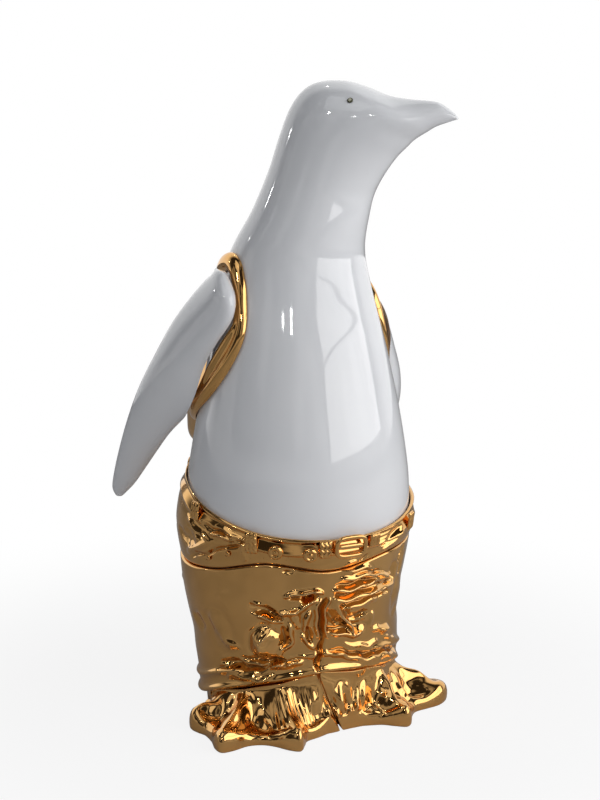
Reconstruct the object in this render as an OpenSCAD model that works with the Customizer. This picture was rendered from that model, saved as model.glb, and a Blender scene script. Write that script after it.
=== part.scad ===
// Penguin vase: a glazed penguin in gilded trousers whose rucksack is the flower vessel.
// The figure stands on z = 0, faces -Y, and +X is the penguin's left.

/* [Figure] */
// Height of the crown above the table
crown_h = 447; // [435:1:465]
// Height of the narrowest part of the neck
neck_h = 355; // [350:1:362]
// Widest width of the white body
belly_w = 163; // [156:1:168]
// Widest depth of the white body
belly_d = 158; // [152:1:164]
// Height of the seat where the body stands in the trousers
seat_h = 112; // [106:1:116]
// Thickness of the body's wall
body_wall = 5; // [4:0.5:7]
// Turn of the chest to the penguin's left, in degrees
torso_turn = 8; // [4:1:12]

/* [Head] */
// Reach of the beak from the body's axis
beak_reach = 115; // [108:1:122]
// Width across the cheeks
head_w = 76; // [70:1:80]
// Turn of the head to the penguin's left, in degrees
head_turn = 53; // [45:1:60]
// Diameter of each eye
eye_d = 4.2; // [3.4:0.2:5]

/* [Flippers] */
// Height of the top of the shoulders
shoulder_h = 321; // [318:1:324]
// Drop from the shoulder to the tip of a flipper
flipper_drop = 178; // [170:1:184]
// Reach of a flipper out of its root
flipper_reach = 100; // [92:1:106]
// Thickness of a flipper at its root
flipper_t = 25; // [20:1:28]
// Outward bow of the right flipper between root and tip
right_bow = 9.5; // [6:0.5:12]
// Outward bow of the left flipper between root and tip
left_bow = 21.5; // [18:0.5:23]
// Drop of the left flipper below the right one
left_drop = 18; // [12:1:20]
// Sweep of the right flipper towards the back, in degrees
right_sweep = 53; // [45:1:58]
// Sweep of the left flipper towards the back, in degrees
left_sweep = 50; // [44:1:54]
// Turn of the left flipper's root behind the right one's place, in degrees
left_back = 21; // [18:1:23]

/* [Straps] */
// Drop of the left strap below the right one
left_strap_drop = 8; // [4:1:10]
// Turn of the left strap behind the right one's place, in degrees
left_strap_back = 17; // [14:1:18]
// Width of a shoulder strap
strap_w = 13; // [11:0.5:15]
// Height of the rounded strap above the body
strap_t = 5; // [4:0.5:6]

/* [Rucksack] */
// Widest width of the rucksack
pack_w = 104; // [98:1:108]
// Depth of the rucksack behind the back
pack_d = 42; // [38:1:46]
// Height of the rucksack's rim above the table
pack_h = 288; // [276:1:294]
// Height of the rucksack's bottom above the table
pack_low_h = 179; // [178:1:186]
// Thickness of the rucksack's wall
pack_wall = 4; // [3:0.5:5]

/* [Trousers] */
// Height of the waistband at the sides
waist_h = 158; // [152:1:162]
// Thickness of the waistband
collar_t = 3.6; // [3:0.2:5]
// Thickness of the trousers' wall
cloth_wall = 5; // [4:0.5:6]
// Thickness of the base
base_t = 5; // [4:0.5:7]
// Diameter of the vent in the base
vent_d = 30; // [26:1:34]
// Distance of the vent behind the middle
vent_y = 28; // [24:1:32]
// Height of the hem at the front
hem_front_h = 44; // [40:1:47]
// Depth of the leg behind the hem
hem_step = 4; // [3:0.5:5]
// Height of the cuff above the hem
cuff_h = 15; // [12:1:18]
// Rise of the deepest fold in the cloth
fold_rise = 4.5; // [2:0.5:5]
// Width of the seat's ledge
ledge_w = 8; // [6:0.5:10]
// Thickness of the seat's ledge
ledge_t = 7; // [5:0.5:10]

/* [Belt fittings] */
// Width of the belt buckle
buckle_w = 25; // [22:1:28]
// Height of the belt buckle
buckle_h = 17; // [14:1:18]
// Thickness of the buckle's bars
buckle_bar = 3.2; // [2.4:0.2:4]
// Width of the buckle's prong
prong_w = 2.6; // [2:0.2:3]
// Width of a belt loop
loop_w = 9; // [7:0.5:10]
// Length of a belt loop
loop_l = 15; // [12:0.5:17]
// Thickness of a belt loop
loop_t = 2.4; // [1.8:0.2:3]
// Diameter of a belt stud
stud_d = 10.6; // [9:0.2:12]
// Rise of a belt stud
stud_t = 2.6; // [2:0.2:3.4]
// Diameter of a pocket rivet
rivet_d = 4.6; // [3.6:0.2:6]
// Rise of a pocket rivet
rivet_t = 1.4; // [1:0.2:2]

/* [Feet] */
// Reach of a foot's longest toe from its ankle
toe_reach = 80; // [74:1:86]
// Height of a toe at its tip
toe_h = 15; // [12:1:18]
// Thickness of the web between toes
web_t = 5; // [4:0.5:8]
// Distance of each ankle from the middle
ankle_x = 33; // [30:1:36]
// Distance of each ankle in front of the middle
ankle_y = 22; // [18:1:26]
// Offset of the cleft between the feet to the penguin's left
cleft_x = 11; // [8:1:14]
// Lean of the cleft towards the penguin's right, as a share of its height
cleft_lean = 0.4; // [0.2:0.05:0.5]

/* [Hidden] */
// Bedding gap between two pieces that are luted together
gap = 0.4;
// Smoothness of the drilled and turned pieces
$fn = 48;
// Points round a section of the body, the trousers, a limb or strap, and the rucksack
body_points = 40;
cloth_points = 76;
limb_points = 24;
pack_points = 40;
// Crowding of the trousers' points towards the front, in degrees
crowd = 30;

head_h = crown_h - neck_h;
waist_r = belly_w/2 + gap + collar_t;
waist_d = belly_d/2 + gap + collar_t;

// Torso sections at equal steps from the seat to the neck:
// half width, half depth, shift towards the beak, turn from chest to head
torso_shares = [
    [0.900, 0.900, 0.000, 0.00],
    [0.992, 0.992, 0.012, 0.00],
    [0.985, 0.985, 0.028, 0.00],
    [0.940, 0.940, 0.038, 0.00],
    [0.882, 0.882, 0.040, 0.00],
    [0.814, 0.814, 0.036, 0.00],
    [0.740, 0.743, 0.028, 0.00],
    [0.664, 0.672, 0.006, 0.00],
    [0.590, 0.600, 0.010, 0.40],
    [0.508, 0.532, 0.092, 0.80],
];
// Head sections fanned from the nape to the tip of the beak:
// back reach, back height, front reach, front height, half width, fullness of the front
head_shares = [
    [-0.218, 0.157, 0.478, 0.140, 1.050, 0.00],
    [-0.152, 0.354, 0.516, 0.240, 0.990, 0.00],
    [-0.094, 0.580, 0.566, 0.338, 0.940, 0.02],
    [-0.028, 0.790, 0.628, 0.438, 0.900, 0.04],
    [0.050, 0.922, 0.682, 0.502, 0.860, 0.06],
    [0.153, 0.989, 0.727, 0.556, 0.800, 0.08],
    [0.310, 0.996, 0.776, 0.596, 0.710, 0.10],
    [0.440, 0.954, 0.815, 0.624, 0.600, 0.12],
    [0.576, 0.889, 0.851, 0.651, 0.465, 0.14],
    [0.704, 0.860, 0.888, 0.671, 0.340, 0.14],
    [0.819, 0.848, 0.925, 0.686, 0.245, 0.12],
    [0.891, 0.831, 0.955, 0.698, 0.180, 0.10],
    [0.951, 0.783, 0.982, 0.708, 0.115, 0.06],
    [0.997, 0.738, 1.005, 0.716, 0.050, 0.00],
];
// Flipper sections from the shoulder to the tip:
// outer reach, outer height, inner reach, inner height, half thickness, bow, shift of the inner edge
flipper_shares = [
    [0.085, 0.992, -0.050, 0.992, 0.35, 0.00, 0.65],
    [0.110, 0.970, -0.100, 0.970, 0.75, 0.00, 0.75],
    [0.170, 0.940, -0.200, 0.895, 1.00, 0.15, 1.00],
    [0.280, 0.870, -0.185, 0.810, 1.04, 0.40, 0.90],
    [0.415, 0.770, -0.060, 0.710, 1.00, 0.65, 0.70],
    [0.570, 0.620, 0.055, 0.605, 0.92, 0.95, 0.45],
    [0.700, 0.490, 0.130, 0.475, 0.82, 1.00, 0.30],
    [0.825, 0.345, 0.435, 0.330, 0.72, 0.70, 0.05],
    [0.945, 0.190, 0.625, 0.215, 0.60, 0.20, 0.00],
    [1.025, 0.080, 0.820, 0.085, 0.44, -0.30, 0.00],
    [1.040, 0.035, 0.910, 0.035, 0.30, -0.45, 0.00],
    [1.015, 0.005, 0.970, 0.005, 0.12, -0.50, 0.00],
];
// Strap path from the rucksack over the shoulder, down the chest and under the arm:
// angle from the chest, height between the seat and the neck, width, rise and depth of its groove
strap_shares = [
    [-134, 0.770, 0.9, 0.9, 0],
    [-123, 0.845, 1.0, 1.0, 0],
    [-108, 0.872, 1.0, 1.0, 0],
    [-93, 0.860, 1.0, 1.0, 0],
    [-80, 0.828, 0.9, 1.0, 0],
    [-70, 0.792, 0.8, 1.0, 0],
    [-65, 0.750, 0.8, 1.0, 0.1],
    [-65, 0.705, 0.9, 1.0, 0.2],
    [-71, 0.649, 1.4, 1.1, 0.5],
    [-80.5, 0.578, 1.6, 1.2, 0.5],
    [-91, 0.513, 1.3, 1.2, 0.4],
    [-104, 0.458, 0.8, 1.1, 0.1],
    [-118, 0.420, 0.7, 1.0, 0],
    [-132, 0.395, 0.8, 1.0, 0],
];
// Waistband's rim and lower edge at every 30 degrees from the front, as shares of its height
rim_shares = [0.898, 0.910, 0.952, 1.005, 1.045, 1.080, 1.105, 1.120, 1.115, 1.070, 0.985, 0.920];
low_shares = [0.755, 0.790, 0.803, 0.810, 0.835, 0.861, 0.873, 0.835, 0.750, 0.715, 0.735, 0.790];
// Creases of the waistband: angle and height at both ends, half width and rise
crease_shares = [
    [-64, 0.915, -46, 0.860, 0.020, 0.55],
    [-46, 0.860, -76, 0.735, 0.018, 0.45],
    [-88, 0.860, -70, 0.855, 0.024, -0.60],
    [-66, 0.905, -56, 0.880, 0.016, -0.30],
];
// Hem of the trousers at every 30 degrees from the front, as shares of its height there
hem_shares = [1.00, 0.92, 0.78, 0.55, 0.32, 0.16, 0.10, 0.11, 0.16, 0.27, 0.57, 0.83];
// Trouser sections at equal steps from the table to the waist: half width, half depth, side shift
cloth_shares = [
    [0.815, 0.815, 0.000],
    [0.830, 0.830, 0.000],
    [0.845, 0.845, 0.000],
    [0.868, 0.860, 0.000],
    [0.876, 0.870, -0.008],
    [0.895, 0.890, -0.026],
    [0.920, 0.915, -0.034],
    [0.944, 0.940, -0.034],
    [0.965, 0.962, -0.024],
    [0.980, 0.980, -0.010],
    [1.000, 1.000, 0.000],
    [1.000, 1.000, 0.000],
];
// Folds of the cloth: angle and height at both ends, half width and rise
fold_shares = [
    [5, 0.712, 37, 0.650, 0.026, 0.80],
    [5, 0.628, 40, 0.618, 0.022, 0.75],
    [8, 0.588, 34, 0.574, 0.018, 0.50],
    [6, 0.668, 31, 0.634, 0.020, -0.60],
    [5, 0.545, 28, 0.535, 0.026, -0.50],
    [-3, 0.665, -19, 0.648, 0.022, 0.75],
    [-5, 0.620, -20, 0.556, 0.020, 0.60],
    [-20, 0.556, -35, 0.584, 0.020, 0.50],
    [-34, 0.545, -23, 0.520, 0.026, -0.90],
    [0, 0.620, -4, 0.410, 0.020, -0.80],
    [-4, 0.410, -4, 0.270, 0.026, -1.00],
    [1, 0.625, 13, 0.460, 0.020, 0.60],
    [-34, 0.412, -30, 0.400, 0.072, 1.00],
    [-47, 0.392, -45, 0.388, 0.036, 0.40],
    [-20, 0.478, -15, 0.396, 0.020, 0.45],
    [-15, 0.396, -26, 0.304, 0.020, 0.45],
    [15, 0.480, 19, 0.440, 0.055, -0.45],
    [10, 0.355, 60, 0.315, 0.024, 0.60],
    [-60, 0.292, -36, 0.298, 0.022, -0.70],
    [45, 0.722, 49, 0.670, 0.024, -0.60],
];
// Belt loops: angle from the chest and length
loop_shares = [
    [-80, 0.85], [-45.5, 1], [-11, 0.85], [14.5, 0.65], [45, 0.9], [95, 1], [145, 1], [-135, 1],
];
// Studs and pocket rivets: angle from the chest, height as a share of the waist's height
stud_shares = [[-34, 0.850], [-18, 0.838]];
rivet_shares = [[-58, 0.822], [-70, 0.785]];
// Buckle: angle from the chest, height as a share of the waist's height
buckle_shares = [1, 0.866];
// Eye: section of the head and angle round it
eye_shares = [15.5, 106];
// Outline of each foot: angle from the front, reach, rim height and how far the ray starts
// from the ankle towards the cleft between the feet
right_toe_shares = [
    [-104, 0.45, 0.35, 0], [-94, 0.56, 0.40, 0], [-84, 0.66, 0.60, 0], [-76, 0.73, 0.90, 0],
    [-70, 0.757, 1.00, 0], [-64, 0.755, 0.80, 0], [-56, 0.755, 0.45, 0], [-47, 0.83, 0.45, 0],
    [-40, 0.96, 0.85, 0], [-35.5, 1.01, 1.00, 0], [-31, 0.95, 0.85, 0], [-24, 0.82, 0.40, 0],
    [-15, 0.785, 0.30, 0], [-7, 0.835, 0.40, 0], [-0.5, 0.94, 0.85, 0], [4.5, 0.99, 1.00, 0],
    [9, 0.90, 0.85, 0], [14, 0.815, 0.50, 0], [23, 0.80, 0.40, 0], [32, 0.80, 0.65, 0],
    [18, 0.70, 0.65, 0.5], [0, 0.64, 0.30, 1],
];
left_toe_shares = [
    [0, 0.64, 0.30, 1], [-2, 0.62, 0.65, 0.5], [-4, 0.61, 0.50, 0], [9, 0.64, 0.30, 0],
    [16.5, 0.73, 0.70, 0], [22, 0.81, 1.00, 0], [27, 0.79, 0.95, 0], [31.5, 0.735, 0.60, 0],
    [42, 0.675, 0.35, 0], [50, 0.68, 0.35, 0], [58, 0.755, 0.40, 0], [65, 0.85, 0.75, 0],
    [71, 0.90, 1.00, 0], [77, 0.92, 1.00, 0], [83, 0.88, 0.80, 0], [91, 0.74, 0.50, 0],
    [100, 0.58, 0.40, 0], [108, 0.45, 0.35, 0],
];

// A vector turned about the vertical axis
function spin(v, a) = [v.x*cos(a) - v.y*sin(a), v.x*sin(a) + v.y*cos(a), v.z];
// A row beyond the ends of a table continues its last step
function row_at(rows, i) = i < 0 ? 2*rows[0] - rows[1]
    : i > len(rows) - 1 ? 2*rows[len(rows) - 1] - rows[len(rows) - 2] : rows[i];
function blend(a, b, c, d, f) =
    0.5*(2*b + (c - a)*f + (2*a - 5*b + 4*c - d)*f*f + (3*b - a - 3*c + d)*f*f*f);
// A smooth curve through the rows of a table
function curve(rows, t) =
    let (i = max(0, min(floor(t), len(rows) - 2)))
    blend(row_at(rows, i - 1), rows[i], rows[i + 1], row_at(rows, i + 2), t - i);
// A smooth closed curve through values at equal angles
function around(values, a) =
    let (n = len(values), t = (a/360 - floor(a/360))*n, i = floor(t))
    blend(values[(i + n - 1)%n], values[i%n], values[(i + 1)%n], values[(i + 2)%n], t - i);
function unit(v) = v/norm(v);

// Faces between two rings, over an end ring, and along a stack of rings
function bridge(a, b, n) = [for (j = [0:n - 1]) let (k = (j + 1)%n)
    each [[a*n + j, b*n + j, b*n + k], [a*n + j, b*n + k, a*n + k]]];
function lid(a, n, centre, top) = [for (j = [0:n - 1]) let (k = (j + 1)%n)
    top ? [centre, a*n + k, a*n + j] : [centre, a*n + j, a*n + k]];
function stack(first, last, n) = [for (i = [first:1:last - 1]) each bridge(i, i + 1, n)];
function middle(ring) = [for (c = [0:2]) [for (p = ring) p[c]]*[for (p = ring) 1]/len(ring)];

// A solid skinned over rings, closed at both ends
module skin(rings) {
    n = len(rings[0]);
    m = len(rings);
    polyhedron(
        concat([for (r = rings) each r], [middle(rings[0]), middle(rings[m - 1])]),
        concat(stack(0, m - 1, n), lid(0, n, m*n, false), lid(m - 1, n, m*n + 1, true)));
}

// A solid whose last ring meets its first, like a tyre
module ring_skin(rings) {
    n = len(rings[0]);
    m = len(rings);
    polyhedron([for (r = rings) each r], concat(stack(0, m - 1, n), bridge(m - 1, 0, n)));
}

// A hollow solid with one opening where the outer and inner skins start
module shell_skin(outer, inner) {
    n = len(outer[0]);
    m = len(outer);
    k = len(inner);
    last = m + k - 1;
    polyhedron(
        concat([for (r = outer) each r], [for (i = [k - 1:-1:0]) each inner[i]],
            [middle(outer[m - 1]), middle(inner[k - 1])]),
        concat(stack(0, m - 1, n), lid(m - 1, n, (m + k)*n, true), lid(m, n, (m + k)*n + 1, false),
            stack(m, last, n), bridge(last, 0, n)));
}

// Section of the body: back and front point in the plane of the beak, half width, fullness, turn
torso_steps = len(torso_shares) - 1;
stations = concat(
    [for (i = [0:torso_steps]) let (
            r = torso_shares[i],
            z = seat_h + (neck_h - seat_h)*i/torso_steps,
            d = r[1]*belly_d/2,
            c = r[2]*beak_reach)
        [c - d, z, c + d, z, r[0]*belly_w/2, 0, torso_turn + r[3]*(head_turn - torso_turn)]],
    [for (r = head_shares)
        [r[0]*beak_reach, neck_h + r[1]*head_h, r[2]*beak_reach, neck_h + r[3]*head_h,
            r[4]*head_w/2, r[5], head_turn]]);

function section_point(s, u, grow) =
    let (
        half = [s[2] - s[0], s[3] - s[1]]/2,
        centre = [s[2] + s[0], s[3] + s[1]]/2,
        p = centre + unit(half)*(norm(half) + grow)*cos(u),
        side = (s[4] + grow)*sin(u)*(1 + s[5]*cos(u)))
    spin([side, -p.x, p.y], s[6]);
function body_point(t, u, grow = 0) = section_point(curve(stations, t), u, grow);
// Station of the torso at a height
function torso_at(z) = (z - seat_h)/(neck_h - seat_h)*torso_steps;
function body_normal(t, u) =
    unit(cross(body_point(t, u + 1) - body_point(t, u - 1), body_point(t + 0.1, u) - body_point(t - 0.1, u)));
function body_ring(t, grow = 0) =
    let (s = curve(stations, t))
    [for (j = [0:body_points - 1]) section_point(s, 360*j/body_points - s[6], grow)];

module body_shell() {
    last = len(stations) - 1;
    cavity = last - 5;
    color("white") shell_skin(
        [for (t = [0:0.5:last]) body_ring(t)],
        [for (t = [0:1:cavity]) body_ring(t, -body_wall)]);
}

// Places a small piece at a point with +Z along the normal and +Y upwards
module seated(p, n) {
    x = unit(cross([0, 0, 1], n));
    y = cross(n, x);
    multmatrix([[x.x, y.x, n.x, p.x], [x.y, y.y, n.y, p.y], [x.z, y.z, n.z, p.z]]) children();
}

// A low dome that stands on its flat face
module dome(d, rise) {
    r = (d*d/4 + rise*rise)/(2*rise);
    sweep = asin(min(1, d/2/r));
    steps = 8;
    rotate_extrude() polygon(concat([[0, 0]],
        [for (i = [0:steps]) r*[sin(sweep*(1 - i/steps)), cos(sweep*(1 - i/steps))] + [0, rise - r]]));
}

module eye(side) {
    t = eye_shares[0];
    u = side*eye_shares[1];
    n = body_normal(t, u);
    color("darkolivegreen") seated(body_point(t, u) + n*gap, n) dome(eye_d, eye_d/4);
}

module right_eye() { eye(-1); }
module left_eye() { eye(1); }

// Radius of the body at a height and an angle from the chest, as far as the straps reach
function body_r(z, u) = let (p = body_point(torso_at(z), u)) norm([p.x, p.y]);
// A point in the chest's frame pushed out of the body
function clear_of_body(p, room) =
    let (a = atan2(p.x, -p.y), r = norm([p.x, p.y]), least = body_r(p.z, a) + room)
    r < least ? [p.x*least/r, p.y*least/r, p.z] : p;

flipper_low_h = shoulder_h - flipper_drop;
// Angle from the chest and centre height of a flipper's root on the body's side
root_angle = 94;
root_h = shoulder_h - flipper_drop*0.17;
function ramp(v) = max(0, min(1, v));
// The straps' path on the body laid flat, with half its width
function strap_line(back, drop) = [for (i = [0:len(strap_shares) - 1]) let (
        p = strap_shares[i],
        mid = sin(180*i/(len(strap_shares) - 1)))
    [(p[0] - back*mid)*belly_w*PI/360, seat_h + p[1]*(neck_h - seat_h) - drop*mid, p[2]*strap_w/2]];
right_strap_line = strap_line(0, 0);
left_strap_line = strap_line(left_strap_back, left_strap_drop);
// Room under a flipper: bedded on the body, and lifted over the strap where it crosses it
function strap_room(z, a, line) =
    let (
        q = [a*belly_w*PI/360, z],
        nearest = min([for (i = [0:len(line) - 2]) let (
                from = [line[i][0], line[i][1]],
                along = [line[i + 1][0], line[i + 1][1]] - from,
                f = ramp((q - from)*along/(along*along)))
            norm(q - from - along*f)/(line[i][2] + (line[i + 1][2] - line[i][2])*f)]))
    2*gap + (1.3*strap_t + gap)*ramp((1.9 - nearest)/0.4);

function flipper_ring(share, root, sweep, bow, drop, line) =
    let (
        out = [-cos(sweep), sin(sweep), 0],
        face = [-sin(sweep), -cos(sweep), 0],
        low = flipper_low_h - drop,
        outer = root + out*share[0]*flipper_reach + [0, 0, low + share[1]*flipper_drop],
        inner = root + out*share[2]*flipper_reach + face*share[6]*flipper_t
            + [0, 0, low + share[3]*flipper_drop])
    [for (j = [0:limb_points - 1]) let (
            a = 360*j/limb_points,
            p = (outer + inner)/2 + (outer - inner)/2*cos(a)
                + face*(share[4]*flipper_t/2*sin(a) + share[5]*bow))
        clear_of_body(p, strap_room(p.z, atan2(p.x, -p.y), line))];

module flipper(sweep, bow, back, drop, line) {
    angle = root_angle + back;
    reach = body_r(root_h - drop, angle) - flipper_t/4;
    root = [-reach*sin(angle), -reach*cos(angle), 0];
    steps = 2*(len(flipper_shares) - 1);
    color("white") rotate([0, 0, torso_turn]) skin(
        [for (i = [0:steps]) flipper_ring(curve(flipper_shares, i/2), root, sweep, bow, drop, line)]);
}

module right_flipper() { flipper(right_sweep, right_bow, 0, 0, right_strap_line); }
module left_flipper() {
    rotate([0, 0, 2*torso_turn]) mirror([1, 0, 0])
        flipper(left_sweep, left_bow, left_back, left_drop, left_strap_line);
}

// A strap is a half round that follows its path on the body, with a groove where it widens
function strap_point(t, side, back, drop) =
    let (p = curve(strap_shares, t), mid = sin(180*ramp(t/(len(strap_shares) - 1))))
    [torso_at(seat_h + p[1]*(neck_h - seat_h) - drop*mid), side*(p[0] - back*mid),
        p[2]*strap_w, p[3]*strap_t, p[4]];
function strap_ring(t, side, back, drop) =
    let (
        s = strap_point(t, side, back, drop),
        p = body_point(s[0], s[1]),
        n = body_normal(s[0], s[1]),
        a = strap_point(t - 0.1, side, back, drop),
        b = strap_point(t + 0.1, side, back, drop),
        along = unit(body_point(b[0], b[1]) - body_point(a[0], a[1])),
        across = unit(cross(n, along)),
        arc = limb_points/2)
    concat(
        [for (j = [0:arc]) let (a = 180*j/arc, dip = s[4]*exp(-pow((a - 90)/20, 2)))
            p + n*(2*gap + s[3]*sin(a)*(1 - dip)) + across*s[2]/2*cos(a)],
        [for (x = [-0.5, 0, 0.5]) p + n*gap*(2 - 1.4*(0.5 - abs(x))) + across*s[2]/2*x]);

module strap(side, back, drop) {
    steps = 3*(len(strap_shares) - 1);
    color("gold") skin([for (i = [0:steps]) strap_ring(i/3, side, back, drop)]);
}

module right_strap() { strap(1, 0, 0); }
module left_strap() { strap(-1, left_strap_back, left_strap_drop); }

// Rucksack sections: height, half width, half depth and how square the corners are
pack_shares = [
    [0.000, 0.76, 0.70, 0.80],
    [0.020, 0.90, 0.86, 0.80],
    [0.070, 0.98, 0.96, 0.75],
    [0.160, 1.00, 1.00, 0.72],
    [0.300, 1.00, 1.02, 0.70],
    [0.500, 0.92, 0.98, 0.70],
    [0.720, 0.83, 0.94, 0.70],
    [0.900, 0.78, 0.93, 0.72],
    [0.970, 0.80, 0.95, 0.75],
    [1.000, 0.79, 0.93, 0.78],
];
pack_rise = pack_h - pack_low_h;
// Squares an ellipse's corners by a power of its sine or cosine
function squared(v, power) = sign(v)*pow(abs(v), power);
// How far the body's back lies behind its axis, with some room
function back_y(x, z, room) =
    let (s = curve(stations, torso_at(z)), q = x/(s[4] + room))
    (s[2] - s[0])/2*sqrt(max(0, 1 - q*q)) + room - (s[2] + s[0])/2;
function pack_ring(share, inset) =
    let (z = pack_low_h + share[0]*pack_rise, depth = pack_d*share[2] - inset)
    [for (j = [0:pack_points - 1]) let (
            a = 360*j/pack_points,
            x = (pack_w/2*share[1] - inset)*squared(sin(a), share[3]))
        [x, max(back_y(0, z, 0) - depth*squared(cos(a), share[3]), back_y(x, z, gap + inset)), z]];

module rucksack_vessel() {
    outer = [for (s = pack_shares) pack_ring(s, 0)];
    inner = [for (i = [len(pack_shares) - 1:-1:2]) pack_ring(pack_shares[i], pack_wall)];
    color("gold") rotate([0, 0, torso_turn]) skin(concat(outer, inner));
}

// Trouser surface: crowded angle, hem, band edges and folds
function crowded(j) = 360*j/cloth_points - crowd*sin(360*j/cloth_points);
function hem_h(a) = hem_front_h*around(hem_shares, a);
function rim_h(a) = waist_h*around(rim_shares, a);
function low_h(a) = waist_h*around(low_shares, a);
function bump(a, z, fold) =
    let (
        mm_per_degree = PI/180*waist_r,
        p = [(a > 180 ? a - 360 : a)*mm_per_degree, z],
        from = [fold[0]*mm_per_degree, fold[1]*waist_h],
        to = [fold[2]*mm_per_degree, fold[3]*waist_h],
        along = to - from,
        f = max(0, min(1, (p - from)*along/(along*along))),
        away = norm(p - from - along*f)/(fold[4]*waist_h))
    away > 2.5 ? 0 : fold[5]*fold_rise*exp(-away*away);
function relief(a, z, rows) = [for (f = rows) bump(a, z, f)]*[for (f = rows) 1];
function cuff(a, z) =
    let (s = (z - hem_h(a))/cuff_h)
    fold_rise*0.5*(exp(-pow((s - 0.12)/0.16, 2)) + exp(-pow((s - 0.92)/0.14, 2)));
function cloth_point(a, z, grow) =
    let (s = curve(cloth_shares, z/waist_h*(len(cloth_shares) - 1)))
    [(s[0]*waist_r + grow)*sin(a) + s[2]*waist_r, -(s[1]*waist_d + grow)*cos(a), z];
function cloth_ring(height, grow) = [for (j = [0:cloth_points - 1]) let (a = crowded(j), z = height(a))
    cloth_point(a, z, grow(a, z))];
// A ring on the body's surface at a height that follows the angle
function fitted_ring(height, grow) = [for (j = [0:cloth_points - 1]) let (a = crowded(j), z = height(a))
    body_point(torso_at(z), a - torso_turn, grow(a, z))];
function vent_ring(z) = [for (j = [0:cloth_points - 1]) let (a = crowded(j))
    [vent_d/2*sin(a), vent_y - vent_d/2*cos(a), z]];

module trousers_shell() {
    rows = 24;
    top = function (a) low_h(a) - 1.5*gap;
    ledge = seat_h - gap;
    outer = concat(
        [for (f = [0, 1]) cloth_ring(function (a) f*hem_h(a), function (a, z) -hem_step)],
        [for (f = [0:rows]) cloth_ring(
            function (a) hem_h(a) + (top(a) - hem_h(a))*f/rows,
            function (a, z) f < rows ? relief(a, z, fold_shares) + cuff(a, z) : -0.25*collar_t)]);
    inner = concat(
        [for (f = [1, 0.75, 0.5, 0.25, 0]) fitted_ring(
            function (a) ledge + (top(a) - ledge)*f, function (a, z) gap)],
        [fitted_ring(function (a) ledge, function (a, z) -ledge_w),
            fitted_ring(function (a) ledge - ledge_t, function (a, z) -ledge_w)],
        [for (f = [0.85, 0.65, 0.4, 0.2]) cloth_ring(
            function (a) base_t + (ledge - base_t)*f, function (a, z) -cloth_wall - hem_step*(1 - f))],
        [cloth_ring(function (a) base_t, function (a, z) -2*cloth_wall - hem_step)],
        [vent_ring(base_t), vent_ring(0)]);
    color("goldenrod") ring_skin(concat(outer, inner));
}

// Surface of the waistband at a share of its height
function band_z(a, f) = low_h(a) + (rim_h(a) - low_h(a))*f;
// Distance from the body out to the trousers at the band's lower edge
function low_room(a) =
    let (z = low_h(a), c = cloth_point(a, z, 0), b = body_point(torso_at(z), a - torso_turn))
    norm([c.x, c.y]) - norm([b.x, b.y]);
function band_grow(a, f, section) =
    gap + collar_t*section + max(0, low_room(a) - 1.1*collar_t - gap)*pow(1 - f, 1.5);
function band_relief(a, z, f) = relief(a, z, crease_shares)*min(1, 4*f*(1 - f));

module waistband() {
    // Height and thickness of the band's section, from its lower edge to its rim
    section_shares = [
        [0, 0.75], [0.05, 0.97], [0.15, 1.0], [0.27, 1.0], [0.39, 0.99], [0.51, 0.98], [0.63, 0.96],
        [0.75, 0.94], [0.86, 0.9], [0.95, 0.78], [1, 0.4],
    ];
    color("goldenrod") ring_skin(concat(
        [for (s = section_shares) fitted_ring(
            function (a) band_z(a, s[0]),
            function (a, z) band_grow(a, s[0], s[1]) + band_relief(a, z, s[0]))],
        [for (f = [1, 0.83, 0.67, 0.5, 0.33, 0.17, 0]) fitted_ring(
            function (a) band_z(a, f), function (a, z) gap)]));
}

// The waistband's outside at an angle from the chest and a height
function band_point(u, z) =
    let (a = u + torso_turn, f = ramp((z - low_h(a))/(rim_h(a) - low_h(a))))
    body_point(torso_at(z), u, band_grow(a, f, 1) + max(0, band_relief(a, z, f)));
// Places a fitting on the waistband
module on_band(u, z, lift = gap) {
    n = unit(cross(band_point(u + 1, z) - band_point(u - 1, z), band_point(u, z + 1) - band_point(u, z - 1)));
    seated(band_point(u, z) + n*lift, n) children();
}

module rounded(w, h, r) {
    offset(r) square([w - 2*r, h - 2*r], center = true);
}

module belt_loops() {
    color("goldenrod") for (s = loop_shares)
        on_band(s[0], rim_h(s[0] + torso_turn) - loop_l*s[1]*0.5)
            linear_extrude(loop_t) square([loop_w, loop_l*s[1]], center = true);
}

module belt_buckle() {
    color("gold") on_band(buckle_shares[0], buckle_shares[1]*waist_h) {
        linear_extrude(buckle_bar) difference() {
            rounded(buckle_w, buckle_h, buckle_bar);
            rounded(buckle_w - 2*buckle_bar, buckle_h - 2*buckle_bar, buckle_bar/2);
        }
        translate([-buckle_w/2 + buckle_bar, -prong_w/2, 0])
            cube([buckle_w - 1.5*buckle_bar, prong_w, prong_w]);
    }
}

module belt_studs() {
    color("gold") for (s = stud_shares) on_band(s[0], s[1]*waist_h) dome(stud_d, stud_t);
}

module pocket_rivets() {
    color("gold") for (s = rivet_shares) on_band(s[0], s[1]*waist_h, 1.5*gap) dome(rivet_d, rivet_t);
}

// Half width and half depth of the leg behind the hem at a height, with the bedding gap
function leg_size(z) =
    let (s = curve(cloth_shares, z/waist_h*(len(cloth_shares) - 1)))
    [s[0]*waist_r, s[1]*waist_d] - [1, 1]*(hem_step - gap);
// Distance along a ray from the ankle at which it leaves the leg
function leg_exit(ankle, a, z) =
    let (
        size = leg_size(z),
        p = [ankle.x/size.x, ankle.y/size.y],
        d = [sin(a)/size.x, -cos(a)/size.y],
        b = p*d)
    (-b + sqrt(b*b - (d*d)*(p*p - 1)))/(d*d);
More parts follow.
